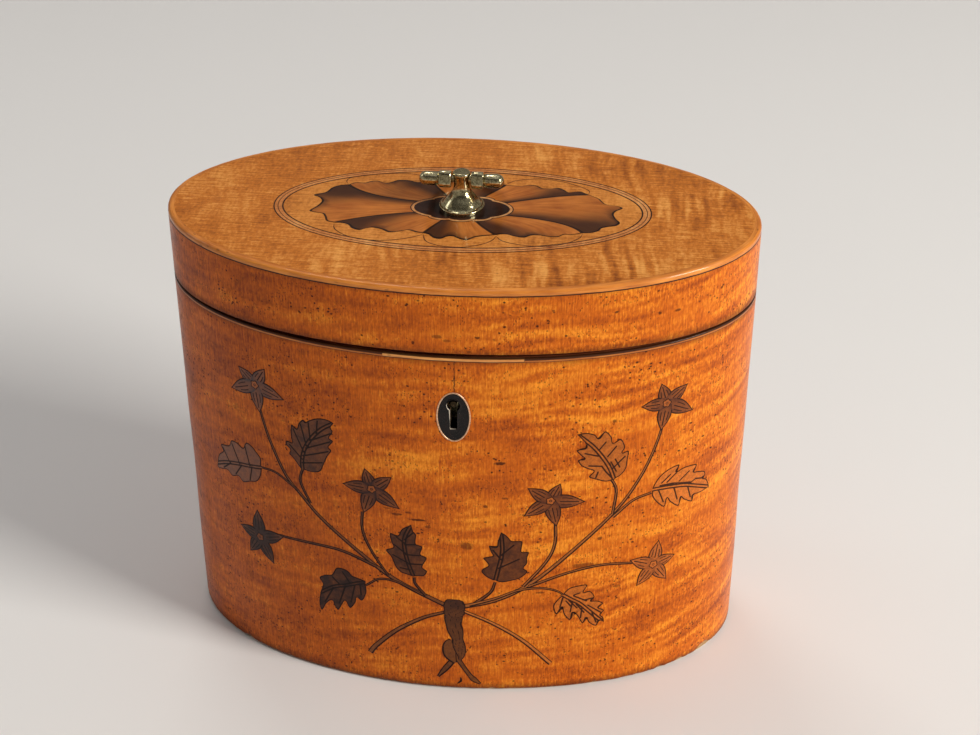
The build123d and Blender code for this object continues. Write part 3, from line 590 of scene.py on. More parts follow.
@dataclass(frozen=True)
class CutInlay:
    """Stained inlay with lines engraved in it and a dark outline.

    The mesh carries tone (0 plain wood to 1 dark), lines (distance to the next cut, in
    millimetres), margin (distance to the outline) and how grey it is (faded stain, with painted
    sheen on the inlays at the far left).
    """

    name: str
    plain: Colour
    dark: Colour
    cut: Colour = srgb(24, 8, 4)
    grey: Colour = srgb(74, 64, 66)
    line_half: float = 0.25
    outline_half: float = 0.27

    def make(self) -> Material:
        """Make the material."""
        bench = Bench(self.name)
        place = bench.object_place()
        tone = bench.value_of("tone")
        lines = bench.value_of("lines")
        margin = bench.value_of("margin")
        greying_and_sheen = bench.value_of("greying_and_sheen")
        cloud = bench.noise(place, 0.35, 3.0, 0.6)
        fleck = bench.noise(place, 2.4, 4.0, 0.65)
        ragged = (fleck - 0.5) * 0.12
        grain = bench.noise(place, 1.1, 3.0, 0.6)
        plain = bench.mix(bench.step(fleck * 0.5 + grain * 0.5, 0.36, 0.64) * 0.42, self.plain, self.dark)
        # The stain turns grey where it has faded; on the inlays at the far left the grey is painted sheen as
        # well.
        stain = bench.mix(greying_and_sheen, self.dark, self.grey)
        body = bench.mix(tone + (cloud - 0.5) * 0.5, plain, stain)
        swell = (cloud - 0.5) * 0.16
        cuts = bench.step(lines + ragged + swell, self.line_half + 0.08, self.line_half - 0.05)
        edge = bench.step(margin + ragged + swell, self.outline_half + 0.1, self.outline_half - 0.07)
        engraved = bench.larger(cuts * 0.93, edge * 0.95)
        return bench.finish(
            bench.mix(engraved, body, self.cut),
            Roughness=0.42 + (cloud - 0.5) * 0.2 + engraved * 0.2,
            Specular_IOR_Level=0.1,
            Coat_Weight=0.3 - engraved * 0.2,
            Coat_Roughness=0.1,
            Normal=bench.bump(cloud * 0.4 + fleck * 0.2 - engraved, 0.05, 0.7),
        )


@dataclass(frozen=True)
class Brass:
    """Old brass, worn bright where fingers reach and brown-green in its corners."""

    name: str
    bright: Colour = srgb(230, 218, 172)
    dull: Colour = srgb(114, 100, 64)
    tarnish: Colour = srgb(34, 28, 16)
    age: float = 0.66
    shine: float = 0.11

    def make(self) -> Material:
        """Make the material."""
        bench = Bench(self.name)
        place = bench.object_place()
        cloud = bench.noise(place, 0.32, 4.0, 0.6)
        fine = bench.noise(place, 2.2, 4.0, 0.65)
        pits = bench.dots(place, 1.4, 0.3, 0.22)
        aged = bench.step(cloud * 0.7 + fine * 0.3, 0.62 - self.age * 0.16, 0.72)
        metal = bench.mix(bench.step(fine, 0.3, 0.75), self.bright, self.dull)
        colour = bench.mix(bench.larger(aged * 0.92, pits * 0.7), metal, self.tarnish)
        return bench.finish(
            colour,
            Metallic=0.98 - aged * 0.3,
            Roughness=self.shine + (fine - 0.4) * 0.14 + aged * 0.2,
            Normal=bench.bump(fine * 0.5 + cloud * 0.6 - pits * 0.4, 0.05, 0.6),
        )


@dataclass(frozen=True)
class Steel:
    """Dark iron of the lock, with rust in patches."""

    name: str
    bright: Colour = srgb(120, 116, 110)
    rust: Colour = srgb(92, 52, 30)

    def make(self) -> Material:
        """Make the material."""
        bench = Bench(self.name)
        place = bench.object_place()
        cloud = bench.noise(place, 0.5, 4.0, 0.6)
        rust = bench.step(cloud, 0.5, 0.68)
        return bench.finish(
            bench.mix(rust, self.bright, self.rust),
            Metallic=0.95 - rust * 0.8,
            Roughness=0.35 + rust * 0.4,
            Normal=bench.bump(cloud, 0.05, 0.6),
        )


@dataclass(frozen=True)
class TinFoil:
    """Lead-grey foil, creased where it was pressed to the wood."""

    name: str
    light: Colour = srgb(158, 156, 150)
    dark: Colour = srgb(86, 82, 74)

    def make(self) -> Material:
        """Make the material."""
        bench = Bench(self.name)
        place = bench.object_place()
        warped = bench.noise(place, 0.12, 3.0)
        crease = bench.node(
            "ShaderNodeTexVoronoi",
            {"feature": "DISTANCE_TO_EDGE"},
            {"Vector": place, "Scale": 0.13},
        )
        creases = bench.step(crease + (warped - 0.5) * 0.3, 0.0, 0.09)
        stain = bench.step(bench.noise(place, 0.07, 4.0, 0.6), 0.42, 0.68)
        return bench.finish(
            bench.mix(stain * 0.75, self.light, self.dark),
            Metallic=0.85 - stain * 0.3,
            Roughness=0.4 + stain * 0.2,
            Normal=bench.bump(creases * 0.6 + warped, 0.25, 0.7),
        )


@dataclass(frozen=True)
class Horn:
    """Near-black polished plate of the escutcheon, with a painted glint: its keyhole's edge pale at the left
    and below.
    """

    name: str
    dark: Colour = srgb(9, 7, 7)
    light: Colour = srgb(30, 20, 17)
    painted_glint: Colour = srgb(206, 192, 172)

    def make(self) -> Material:
        """Make the material."""
        bench = Bench(self.name)
        place = bench.object_place()
        cloud = bench.noise(place, 0.5, 4.0, 0.6)
        scratch = bench.noise(place, 5.0, 2.0)
        # Painted glint: the mesh's wear value is high on the keyhole's edge at the left and below, and there
        # the plate turns pale.
        wear = bench.value_of("wear")
        painted_glint = bench.step(wear + (cloud - 0.5) * 0.9, 0.55, 0.85)
        return bench.finish(
            bench.mix(painted_glint, bench.ramp(cloud, (0.35, self.dark), (0.75, self.light)), self.painted_glint),
            Roughness=0.28 + (scratch - 0.5) * 0.2,
            Specular_IOR_Level=0.12,
            Coat_Weight=0.2,
            Coat_Roughness=0.06,
            Normal=bench.bump(cloud + scratch * 0.2, 0.05, 0.6),
        )


@dataclass(frozen=True)
class Floor:
    """Plain pale floor."""

    name: str
    tone: Colour = srgb(240, 237, 232)

    def make(self) -> Material:
        """Make the material."""
        bench = Bench(self.name)
        cloud = bench.noise(bench.object_place(), 0.004, 2.0)
        colour = bench.mix(cloud * 0.08, self.tone, srgb(224, 219, 211))
        return bench.finish(colour, Roughness=0.75)


# Shapes


@dataclass(frozen=True)
class Oval:
    """Ellipse in plan, walked by arc length from the middle of the front to the right."""

    half_width: float
    half_depth: float
    samples: int = 4000

    def _table(self) -> tuple[Array, Array]:
        """Angles once round, and the running sum of the arc length up to each.

        Returns:
            Angles, and arc lengths from the middle of the front.
        """
        angle = np.linspace(-np.pi, np.pi, self.samples + 1)
        rate = np.hypot(self.half_width * np.cos(angle), self.half_depth * np.sin(angle))
        walked = np.concatenate(([0.0], np.cumsum((rate[1:] + rate[:-1]) / 2 * np.diff(angle))))
        return angle, walked - walked[self.samples // 2]

    def half_round(self) -> float:
        """Half of the way round."""
        return float(self._table()[1][-1])

    def place(self, arc: Array, outward: Array | float, height: Array | float) -> Array:
        """Points of the upright oval wall.

        The angle t for an arc length is read from the table. The point is (a sin t, -b cos t),
        moved along the outward normal, which points along (b sin t, -a cos t).

        Args:
            arc: Arc length from the middle of the front.
            outward: Distance outwards from the wall.
            height: Height.

        Returns:
            Points, with X, Y and Z last.
        """
        angles, walked = self._table()
        angle = np.interp(arc, walked, angles)
        normal = np.stack([self.half_depth * np.sin(angle), -self.half_width * np.cos(angle)], -1)
        normal /= np.linalg.norm(normal, axis=-1, keepdims=True)
        shift = np.asarray(outward, float)
        x = self.half_width * np.sin(angle) + shift * normal[..., 0]
        y = -self.half_depth * np.cos(angle) + shift * normal[..., 1]
        return np.stack(np.broadcast_arrays(x, y, np.asarray(height, float)), -1)


def wander(along: Array, seed: int, span: float, size: float) -> Array:
    """Smooth random wave: twelve sines, whose lengths lie round a span, with seeded phases.

    Args:
        along: Where the wave is wanted.
        seed: Seed of the lengths and phases.
        span: Middle length of the sines.
        size: Root mean square of the wave.

    Returns:
        The wave at each place.
    """
    draw = np.random.default_rng(seed)
    lengths = span * 2 ** draw.uniform(-1, 1, 12)
    phases = draw.uniform(0, 2 * np.pi, 12)
    waves = np.sin(2 * np.pi * np.asarray(along)[..., None] / lengths + phases)
    return size * waves.sum(-1) / np.sqrt(6)


def smooth_path(points: Sequence[Sequence[float]], steps: int, closed: bool = False) -> Array:
    """Catmull-Rom curve: each span is the cubic whose end slopes are half the chord of its neighbours.

    Args:
        points: Points on the curve, with any further values beside them.
        steps: Steps in each span.
        closed: Whether the curve ends where it starts.

    Returns:
        Points along the curve.
    """
    knots = np.array(points, float)
    if closed:
        padded = np.vstack([knots[-1:], knots, knots[:2]])
    else:
        padded = np.vstack([2 * knots[0] - knots[1], knots, 2 * knots[-1] - knots[-2]])
    before, start, end, after = (padded[i:len(padded) - 3 + i, None, :] for i in range(4))
    t = np.linspace(0, 1, steps, endpoint=False)[None, :, None]
    spans = 0.5 * (
        2 * start
        + (end - before) * t
        + (2 * before - 5 * start + 4 * end - after) * t**2
        + (3 * start - before - 3 * end + after) * t**3
    )
    curve = spans.reshape(-1, knots.shape[1])
    last = knots[:1] if closed else knots[-1:]
    return np.vstack([curve, last])


def resample(path: Array, count: int) -> Array:
    """The same line with its points evenly spaced.

    Args:
        path: Points of the line, with any further values beside them.
        count: Number of points wanted.

    Returns:
        The evenly spaced points.
    """
    walked = np.concatenate(([0.0], np.cumsum(np.linalg.norm(np.diff(path[:, :2], axis=0), axis=1))))
    wanted = np.linspace(0, walked[-1], count)
    return np.stack([np.interp(wanted, walked, path[:, k]) for k in range(path.shape[1])], -1)


def beside(path: Array) -> Array:
    """Flat directions at right angles to a line: its unit slope, turned left."""
    slope = np.gradient(path, axis=0)
    slope /= np.linalg.norm(slope, axis=1, keepdims=True)
    return np.stack([-slope[:, 1], slope[:, 0]], -1)


def away_from(points: Array, path: Array) -> Array:
    """Distance of points from a line: the least distance to its stretches, each met at 0 <= t <= 1.

    Args:
        points: Flat points, with the two values last.
        path: Points of the line.

    Returns:
        The distance of each point.
    """
    start, run = path[:-1], np.diff(path, axis=0)
    offset = points[..., None, :] - start
    t = np.clip((offset * run).sum(-1) / np.maximum((run * run).sum(-1), 1e-9), 0, 1)
    return np.linalg.norm(offset - t[..., None] * run, axis=-1).min(-1)


class Piece:
    """A mesh put together from grids of points, then made an object that rides on a body."""

    def __init__(self, name: str) -> None:
        """Start an empty piece of that name.

        Args:
            name: Name of its object.
        """
        self.name = name
        self.points: list[Array] = []
        self.faces: list[Array] = []
        self.plans: list[Array] = []
        self.values: dict[str, list[Array]] = {}
        self.count = 0

    def grid(self, points: Array, plan: Array | None = None, **values: Array) -> "Piece":
        """Add a surface: the faces join each point to its neighbours in both directions.

        Args:
            points: Rows and columns of points.
            plan: Place on the piece's own plan, for each point.
            values: Values that the finish reads, for each point.

        Returns:
            The piece itself.
        """
        rows, columns = points.shape[:2]
        index = np.arange(rows * columns).reshape(rows, columns) + self.count
        corners = (index[:-1, :-1], index[1:, :-1], index[1:, 1:], index[:-1, 1:])
        self.faces.append(np.stack(corners, -1).reshape(-1, 4))
        self.points.append(points.reshape(-1, 3))
        self.plans.append((np.zeros((rows, columns, 2)) if plan is None else plan).reshape(-1, 2))
        for name, value in values.items():
            filled = np.broadcast_to(value, (rows, columns)).reshape(-1)
            self.values.setdefault(name, []).append(filled)
        self.count += rows * columns
        return self

    def slab(
        self, top: Array, bottom: Array, plan: Array | None = None, disc: bool = False, **values: Array
    ) -> "Piece":
        """Add a closed plate: two grids of one shape, joined by a wall along their border.

        Args:
            top: Grid of the upper face.
            bottom: Grid of the lower face.
            plan: Place on the piece's own plan, for each point.
            disc: Whether the rows are rings that grow from one middle point.
            values: Values that the finish reads, for each point.

        Returns:
            The piece itself.
        """
        def border(grid: Array) -> Array:
            """Points along the border, once round."""
            if disc:
                return grid[-1]
            return np.concatenate([grid[0, :-1], grid[:-1, -1], grid[-1, :0:-1], grid[::-1, 0]])

        self.grid(top, plan, **values)
        self.grid(bottom, plan, **values)
        wall = np.stack([border(top), border(bottom)])
        wall_plan = None if plan is None else np.stack([border(plan)] * 2)
        wall_values = {}
        for name, value in values.items():
            edge = border(np.broadcast_to(value, top.shape[:2]))
            wall_values[name] = np.stack([edge, edge])
        return self.grid(wall, wall_plan, **wall_values)

    def cap(self, ring: Array) -> "Piece":
        """Close a ring of points with a fan round its middle."""
        middle = np.broadcast_to(ring.mean(0), ring.shape)
        return self.grid(np.stack([ring, middle]))

    def turned(self, profile: Array, origin: Array, axis: int, steps: int = 96) -> "Piece":
        """Add a turned body: a profile of radius and distance, carried round an axis.

        Args:
            profile: Radius and distance along the axis, for each point.
            origin: Where the axis starts.
            axis: 0 for X, 2 for Z.
            steps: Steps once round.

        Returns:
            The piece itself.
        """
        angle = np.linspace(0, 2 * np.pi, steps + 1)
        radius = profile[:, None, 0]
        first = radius * np.cos(angle)
        second = radius * np.sin(angle)
        along = np.broadcast_to(profile[:, None, 1], first.shape)
        spread = np.stack([along, first, second], -1)
        return self.grid(np.roll(spread, axis, -1) + origin)

    def make(self, material: Material, body: str, slot: str, *nodes: str) -> bpy.types.Object:
        """Make the object: merge seams and poles, turn the faces outwards, dress it and let it ride.

        Args:
            material: Its finish.
            body: The body that it rides on.
            slot: The record's material slot; not used.
            nodes: The nodes that it stands for.

        Returns:
            The object.
        """
        mesh = bpy.data.meshes.new(self.name)
        faces = np.concatenate(self.faces)
        mesh.from_pydata(np.concatenate(self.points) * MM, [], faces.tolist())
        layer = mesh.uv_layers.new(name=PLAN)
        plan = np.concatenate(self.plans) * MM
        layer.data.foreach_set("uv", plan[faces.reshape(-1)].astype(np.float32).reshape(-1))
        for name, parts in self.values.items():
            attribute = mesh.attributes.new(name, "FLOAT", "POINT")
            attribute.data.foreach_set("value", np.concatenate(parts).astype(np.float32))
        work = bmesh.new()
        work.from_mesh(mesh)
        bmesh.ops.remove_doubles(work, verts=work.verts, dist=0.002 * MM)
        bmesh.ops.dissolve_degenerate(work, edges=work.edges, dist=0.001 * MM)
        bmesh.ops.recalc_face_normals(work, faces=work.faces)
        work.to_mesh(mesh)
        work.free()
        mesh.shade_smooth()
        mesh.set_sharp_from_angle(angle=np.radians(38))
        mesh.materials.append(material)
        made = bpy.data.objects.new(self.name, mesh)
        bpy.context.scene.collection.objects.link(made)
        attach(made, body)
        if nodes:
            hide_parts(*nodes)
        return made


# The case


@dataclass(frozen=True)
class CaseForm:
    """Sizes of the case that its skins share, as in the frame."""

    oval: Oval = Oval(76.0, 42.0)
    body_low: float = 0.3
    body_high: float = 105.1
    rim: float = 106.1
    veneer: float = 0.9
    lid_low: float = 106.55
    lid_bow: float = 0.75
    lid_side_high: float = 123.3
    top: float = 125.0
    hinge_x: float = 14.0
    hinge_half: float = 8.55
    hinge_top: float = 108.45
    hinge_foot: float = 104.95

    def arcs(self, columns: int) -> Array:
        """Arc lengths once round, closer at the hinge notches so that their sides are upright.

        Args:
            columns: Even steps once round.

        Returns:
            Rising arc lengths.
        """
        half = self.oval.half_round()
        even = np.linspace(-half, half, columns + 1)
        sides = np.array([self.hinge_x - self.hinge_half, self.hinge_x + self.hinge_half])
        notch = np.concatenate([half - self.arc_from_back(sides), self.arc_from_back(sides) - half])
        return np.sort(np.concatenate([even, notch - 0.03, notch + 0.03]))

    def arc_from_back(self, x: Array) -> Array:
        """Arc length from the middle of the back to a place along X, near the back."""
        angle = np.arcsin(x / self.oval.half_width)
        steps = np.linspace(0, 1, 60)[:, None] * angle
        rate = np.hypot(self.oval.half_width * np.cos(steps), self.oval.half_depth * np.sin(steps))
        return rate.mean(0) * angle

    def in_notch(self, arc: Array) -> Array:
        """Whether a place round the case lies in a hinge notch."""
        spot = self.oval.place(arc, 0.0, 0.0)
        at_back = spot[..., 1] > 0
        return at_back & (np.abs(np.abs(spot[..., 0]) - self.hinge_x) < self.hinge_half)

    def sag(self, arc: Array, height: Array) -> Array:
        """How far the old case has moved: slow waves that die out at the rim, nearly all inwards."""
        fade = np.clip((100 - height) / 30, 0, 1)
        wave = wander(arc, 3, 90, 0.09) + wander(height, 4, 60, 0.05)
        return fade * np.clip(wave - 0.12, -0.45, 0.02)

    def skin(self, arc: Array, height: Array, proud: Array | float = 0.0) -> Array:
        """Points on the body's outside."""
        arc, height = np.broadcast_arrays(arc, height)
        return self.oval.place(arc, self.sag(arc, height) + proud, height)

    def lid_foot(self, arc: Array) -> Array:
        """Lower edge of the lid: bowed up in the middle, higher in the hinge notches."""
        x = self.oval.place(arc, 0.0, 0.0)[..., 0]
        bow = self.lid_low + self.lid_bow * (1 - (x / self.oval.half_width) ** 2)
        return np.where(self.in_notch(arc), self.hinge_top, bow)


@dataclass(frozen=True)
class Chip:
    """A bite out of the lower edge of the veneer: place, half width and height."""

    arc: float
    half: float
    height: float


@dataclass
class CaseSkin:
    """The polished veneer of the body and of the lid's side."""

    form: CaseForm
    columns: int = 600
    rows: int = 64
    keyhole_middle: Point = (2.6, 89.0)
    escutcheon_half: Point = (4.25, 7.25)
    cutter_front: float = -45.0
    cutter_back: float = -38.0
    lid_edge: float = 0.16
    chips: tuple[Chip, ...] = (
        Chip(75.1, 2.4, 1.3), Chip(66.0, 1.2, 0.6), Chip(59.3, 1.0, 0.5), Chip(40.1, 0.8, 0.4),
        Chip(-88.0, 2.0, 0.8), Chip(-61.0, 1.1, 0.5), Chip(128.0, 2.6, 0.9), Chip(-150.0, 1.8, 0.7),
        Chip(12.0, 0.7, 0.35),
    )
    body_marks: tuple[Mark, ...] = (
        Mark(14.0, 75.3, 1.6, 0.55, 0.85), Mark(5.6, 49.0, 1.7, 1.3, 0.6),
        Mark(10.4, 61.9, 0.6, 0.5, 0.7), Mark(42.9, 86.0, 0.6, 0.5, 0.7),
        Mark(15.4, 64.5, 1.0, 0.35, 0.6), Mark(40.2, 49.8, 0.7, 0.6, 0.7),
        Mark(-7.0, 56.5, 2.4, 0.4, 0.8), Mark(-12.6, 57.6, 1.5, 0.45, 0.7),
        Mark(-9.6, 58.6, 0.9, 0.35, 0.6), Mark(-4.4, 54.6, 0.9, 0.5, 0.6),
        Mark(-15.2, 59.2, 1.1, 0.3, 0.5), Mark(24.6, 33.6, 1.3, 0.35, 0.6),
        Mark(45.2, 33.2, 1.2, 0.5, 0.5), Mark(36.0, 41.5, 3.6, 0.8, 0.55),
    )
    lid_marks: tuple[Mark, ...] = (
        Mark(-12.8, 122.3, 0.4, 0.3, 0.85), Mark(-7.0, 109.8, 0.4, 0.5, 0.8),
        Mark(8.7, 112.1, 0.6, 0.4, 0.8), Mark(6.6, 108.1, 0.7, 0.3, 0.7),
        Mark(-1.1, 112.0, 1.2, 0.5, 0.55), Mark(1.3, 111.0, 1.0, 0.4, 0.5),
        Mark(42.3, 117.5, 0.5, 0.35, 0.8), Mark(53.5, 115.3, 0.5, 0.5, 0.75),
        Mark(58.4, 115.0, 0.9, 0.4, 0.7), Mark(71.6, 117.4, 0.6, 0.4, 0.7),
    )

    def build(self) -> None:
        """Build both skins."""
        body = SideVeneer("satinwood_body", foot_line=0.6, top_line=105.6, crack_at=2.9, crack_foot=96.2,
                          marks=self.body_marks)
        lid = SideVeneer("satinwood_lid_side", foot_line=106.9, top_line=124.4, marks=self.lid_marks)
        made = self._body(body.make())
        self._cut_escutcheon(made)
        self._lid(lid.make())

    def _body(self, material: Material) -> bpy.types.Object:
        """Skin of the body: a thin ring whose profile is worn at its lower edge.

        Args:
            material: Its finish.

        Returns:
            The skin's object.
        """
        form = self.form
        arc = form.arcs(self.columns)[None, :]
        wear = 0.12 + np.abs(wander(arc, 11, 9, 0.12))
        low = form.body_low + np.abs(wander(arc, 12, 5, 0.06))
        for chip in self.chips:
            low = low + chip.height * np.exp(-(((arc - chip.arc) / chip.half) ** 4))
        high = np.where(form.in_notch(arc), form.hinge_foot, form.body_high)
        share = np.linspace(0, 1, self.rows)[:, None]
        face = low + 0.9 + wear + share * (high - low - 0.9 - wear)
        edge_in = [(-0.35 - wear, low), (-0.14 - wear * 0.5, low + 0.14), (-0.03 - wear * 0.1, low + 0.42)]
        outward = [-form.veneer + 0 * arc, *(inset for inset, _ in edge_in)]
        heights = [low, *(height for _, height in edge_in)]
        outward = np.vstack([*outward, np.zeros_like(face), -form.veneer + 0 * arc, -form.veneer + 0 * arc])
        heights = np.vstack([*heights, face, high, low])
        arcs = np.broadcast_to(arc, heights.shape)
        points = form.skin(arcs, heights, outward)
        piece = Piece("body_skin").grid(points, np.stack([arcs, heights], -1))
        log.info("body skin")
        return piece.make(material, "box", "satinwood", "body_veneer")

    def _cut_escutcheon(self, skin: bpy.types.Object) -> None:
        """Cut the oval for the escutcheon: a boolean with an upright oval block."""
        angle = np.linspace(0, 2 * np.pi, 65)
        x = self.keyhole_middle[0] + self.escutcheon_half[0] * np.cos(angle)
        z = self.keyhole_middle[1] + self.escutcheon_half[1] * np.sin(angle)
        front = np.stack([x, np.full_like(x, self.cutter_front), z], -1)
        back = np.stack([x, np.full_like(x, self.cutter_back), z], -1)
        cutter = Piece("escutcheon_cutter")
        cutter.grid(np.stack([front, back])).cap(front).cap(back)
        block = cutter.make(skin.active_material, "box", "satinwood")
        modifier = skin.modifiers.new("escutcheon", "BOOLEAN")
        modifier.operation = "DIFFERENCE"
        modifier.solver = "EXACT"
        modifier.object = block
        bpy.context.view_layer.update()
        graph = bpy.context.evaluated_depsgraph_get()
        cut = bpy.data.meshes.new_from_object(skin.evaluated_get(graph))
        skin.modifiers.clear()
        skin.data = cut
        bpy.data.objects.remove(block)

    def _lid(self, material: Material) -> None:
        """Skin of the lid's side: a thin ring with a bowed lower edge."""
        form = self.form
        arc = form.arcs(self.columns)[None, :]
        low = form.lid_foot(arc) + np.abs(wander(arc, 21, 6, 0.03))
        soft = self.lid_edge
        share = np.linspace(0, 1, 20)[:, None]
        face = low + soft + share * (form.lid_side_high - low - soft)
        outward = np.vstack([
            -form.veneer + 0 * arc,
            -soft + 0 * arc,
            -0.3 * soft + 0 * arc,
            np.zeros_like(face),
            -form.veneer + 0 * arc,
            -form.veneer + 0 * arc,
        ])
        heights = np.vstack([low, low, low + 0.3 * soft, face, form.lid_side_high + 0 * arc, low])
        arcs = np.broadcast_to(arc, heights.shape)
        points = form.oval.place(arcs, outward, heights)
        piece = Piece("lid_skin").grid(points, np.stack([arcs, heights], -1))
        piece.make(material, "lid", "satinwood", "lid_veneer")
        log.info("lid skin")


@dataclass
class EdgeLines:
    """Pale lines: round the top edge of the lid and round the rim of the body."""

    form: CaseForm
    columns: int = 480
    lid_width: float = 1.7
    lid_round: float = 0.8
    rim_height: float = 1.0
    rim_round: float = 0.3
    patch_low: float = -14.8
    patch_high: float = 20.0

    def build(self) -> None:
        """Build the lines of the lid and of the rim, and the patch over the lock."""
        self._lid_line()
        self._rim_lines()

    def _profile(self, width: float, height: float, corner: float, top: float) -> Array:
        """Closed section: up the outside, round the outer corner as a quarter circle, in and down.

        Args:
            width: Width of the line, inwards.
            height: Height of the line.
            corner: Radius of its outer corner.
            top: Height of its upper face in the case.

        Returns:
            Outward distance and height of each point.
        """
        angle = np.linspace(0, np.pi / 2, 9)
        corner_in = -corner + corner * np.cos(angle)
        corner_up = top - corner + corner * np.sin(angle)
        outward = np.concatenate([[0.0], corner_in, [-width, -width, 0.0]])
        upward = np.concatenate([[top - height], corner_up, [top, top - height, top - height]])
        return np.stack([outward, upward], -1)

    def _ring(self, piece: Piece, arc: Array, section: Array, bruised: float, closed: bool) -> None:
        """Carry a section along the wall and close its ends where it doesn't meet itself.

        Args:
            piece: Where it goes.
            arc: Arc lengths on its way.
            section: Outward distance and height of each point.
            bruised: Depth of its dents.
            closed: Whether it runs once round and meets itself.
        """
        dent = -np.clip(wander(arc, 31, 7, bruised), 0, None)
        outer = (section[:, :1] > -0.5) * 1.0
        outward = section[:, :1] + dent[None, :] * outer
        heights = np.broadcast_to(section[:, 1:], outward.shape)
        arcs = np.broadcast_to(arc[None, :], outward.shape)
        points = self.form.oval.place(arcs, outward, heights)
        walked = np.concatenate(([0.0], np.cumsum(np.linalg.norm(np.diff(section, axis=0), axis=1))))
        plan = np.stack(np.broadcast_arrays(arcs, walked[:, None]), -1)
        piece.grid(points, plan)
        if not closed:
            piece.cap(points[:, 0]).cap(points[:, -1])

    def _lid_line(self) -> None:
        """Line round the lid's top edge, its outer corner worn round."""
        section = self._profile(self.lid_width, self.lid_width, self.lid_round, self.form.top)
        half = self.form.oval.half_round()
        arc = np.linspace(-half, half, self.columns + 1)
        piece = Piece("lid_edge_line")
        self._ring(piece, arc, section, 0.03, True)
        width = 2 * self.lid_width - (2 - np.pi / 2) * self.lid_round
        finish = StringWood("boxwood_lid_edge", float(width))
        piece.make(finish.make(), "lid", "boxwood", "lid_stringing")
        log.info("lid edge line")

    def _rim_lines(self) -> None:
        """Line round the rim in stretches between the hinges and the patch, and the patch itself."""
        form = self.form
        section = self._profile(form.veneer, self.rim_height, self.rim_round, form.rim)
        half = form.oval.half_round()
        inner = form.arc_from_back(np.array([form.hinge_x - form.hinge_half, form.hinge_x + form.hinge_half]))
        near, far = float(inner[0]), float(inner[1])
        stretches = ((self.patch_high, half - far), (-half + far, self.patch_low))
        piece = Piece("rim_line")
        for start, end in stretches:
            self._ring(piece, np.linspace(start, end, 200), section, 0.02, False)
        to_back = np.linspace(half - near, half, 20)
        from_back = np.linspace(-half, -half + near, 20)
        middle = np.concatenate([to_back, from_back[1:]])
        self._ring(piece, middle, section, 0.02, False)
        width = float(2 * self.rim_height)
        # The dark upper band of the rim line and of the patch is painted shade of the joint under the lid.
        finish = StringWood("boxwood_rim", width, srgb(140, 62, 12), srgb(214, 128, 50), glue_low=0.12,
                            shade_and_glue_high=width - 0.52)
        piece.make(finish.make(), "box", "boxwood", "rim_stringing")
        patch = Piece("rim_patch")
        span = np.linspace(self.patch_low + 0.06, self.patch_high - 0.06, 60)
        self._ring(patch, span, section, 0.015, False)
        finish = StringWood("boxwood_patch", width, srgb(190, 104, 40), srgb(246, 178, 100), glue_low=0.2,
                            shade_and_glue_high=width - 0.86)
        patch.make(finish.make(), "box", "boxwood", "lock_patch")
        log.info("rim lines and patch")


# The patera in the lid


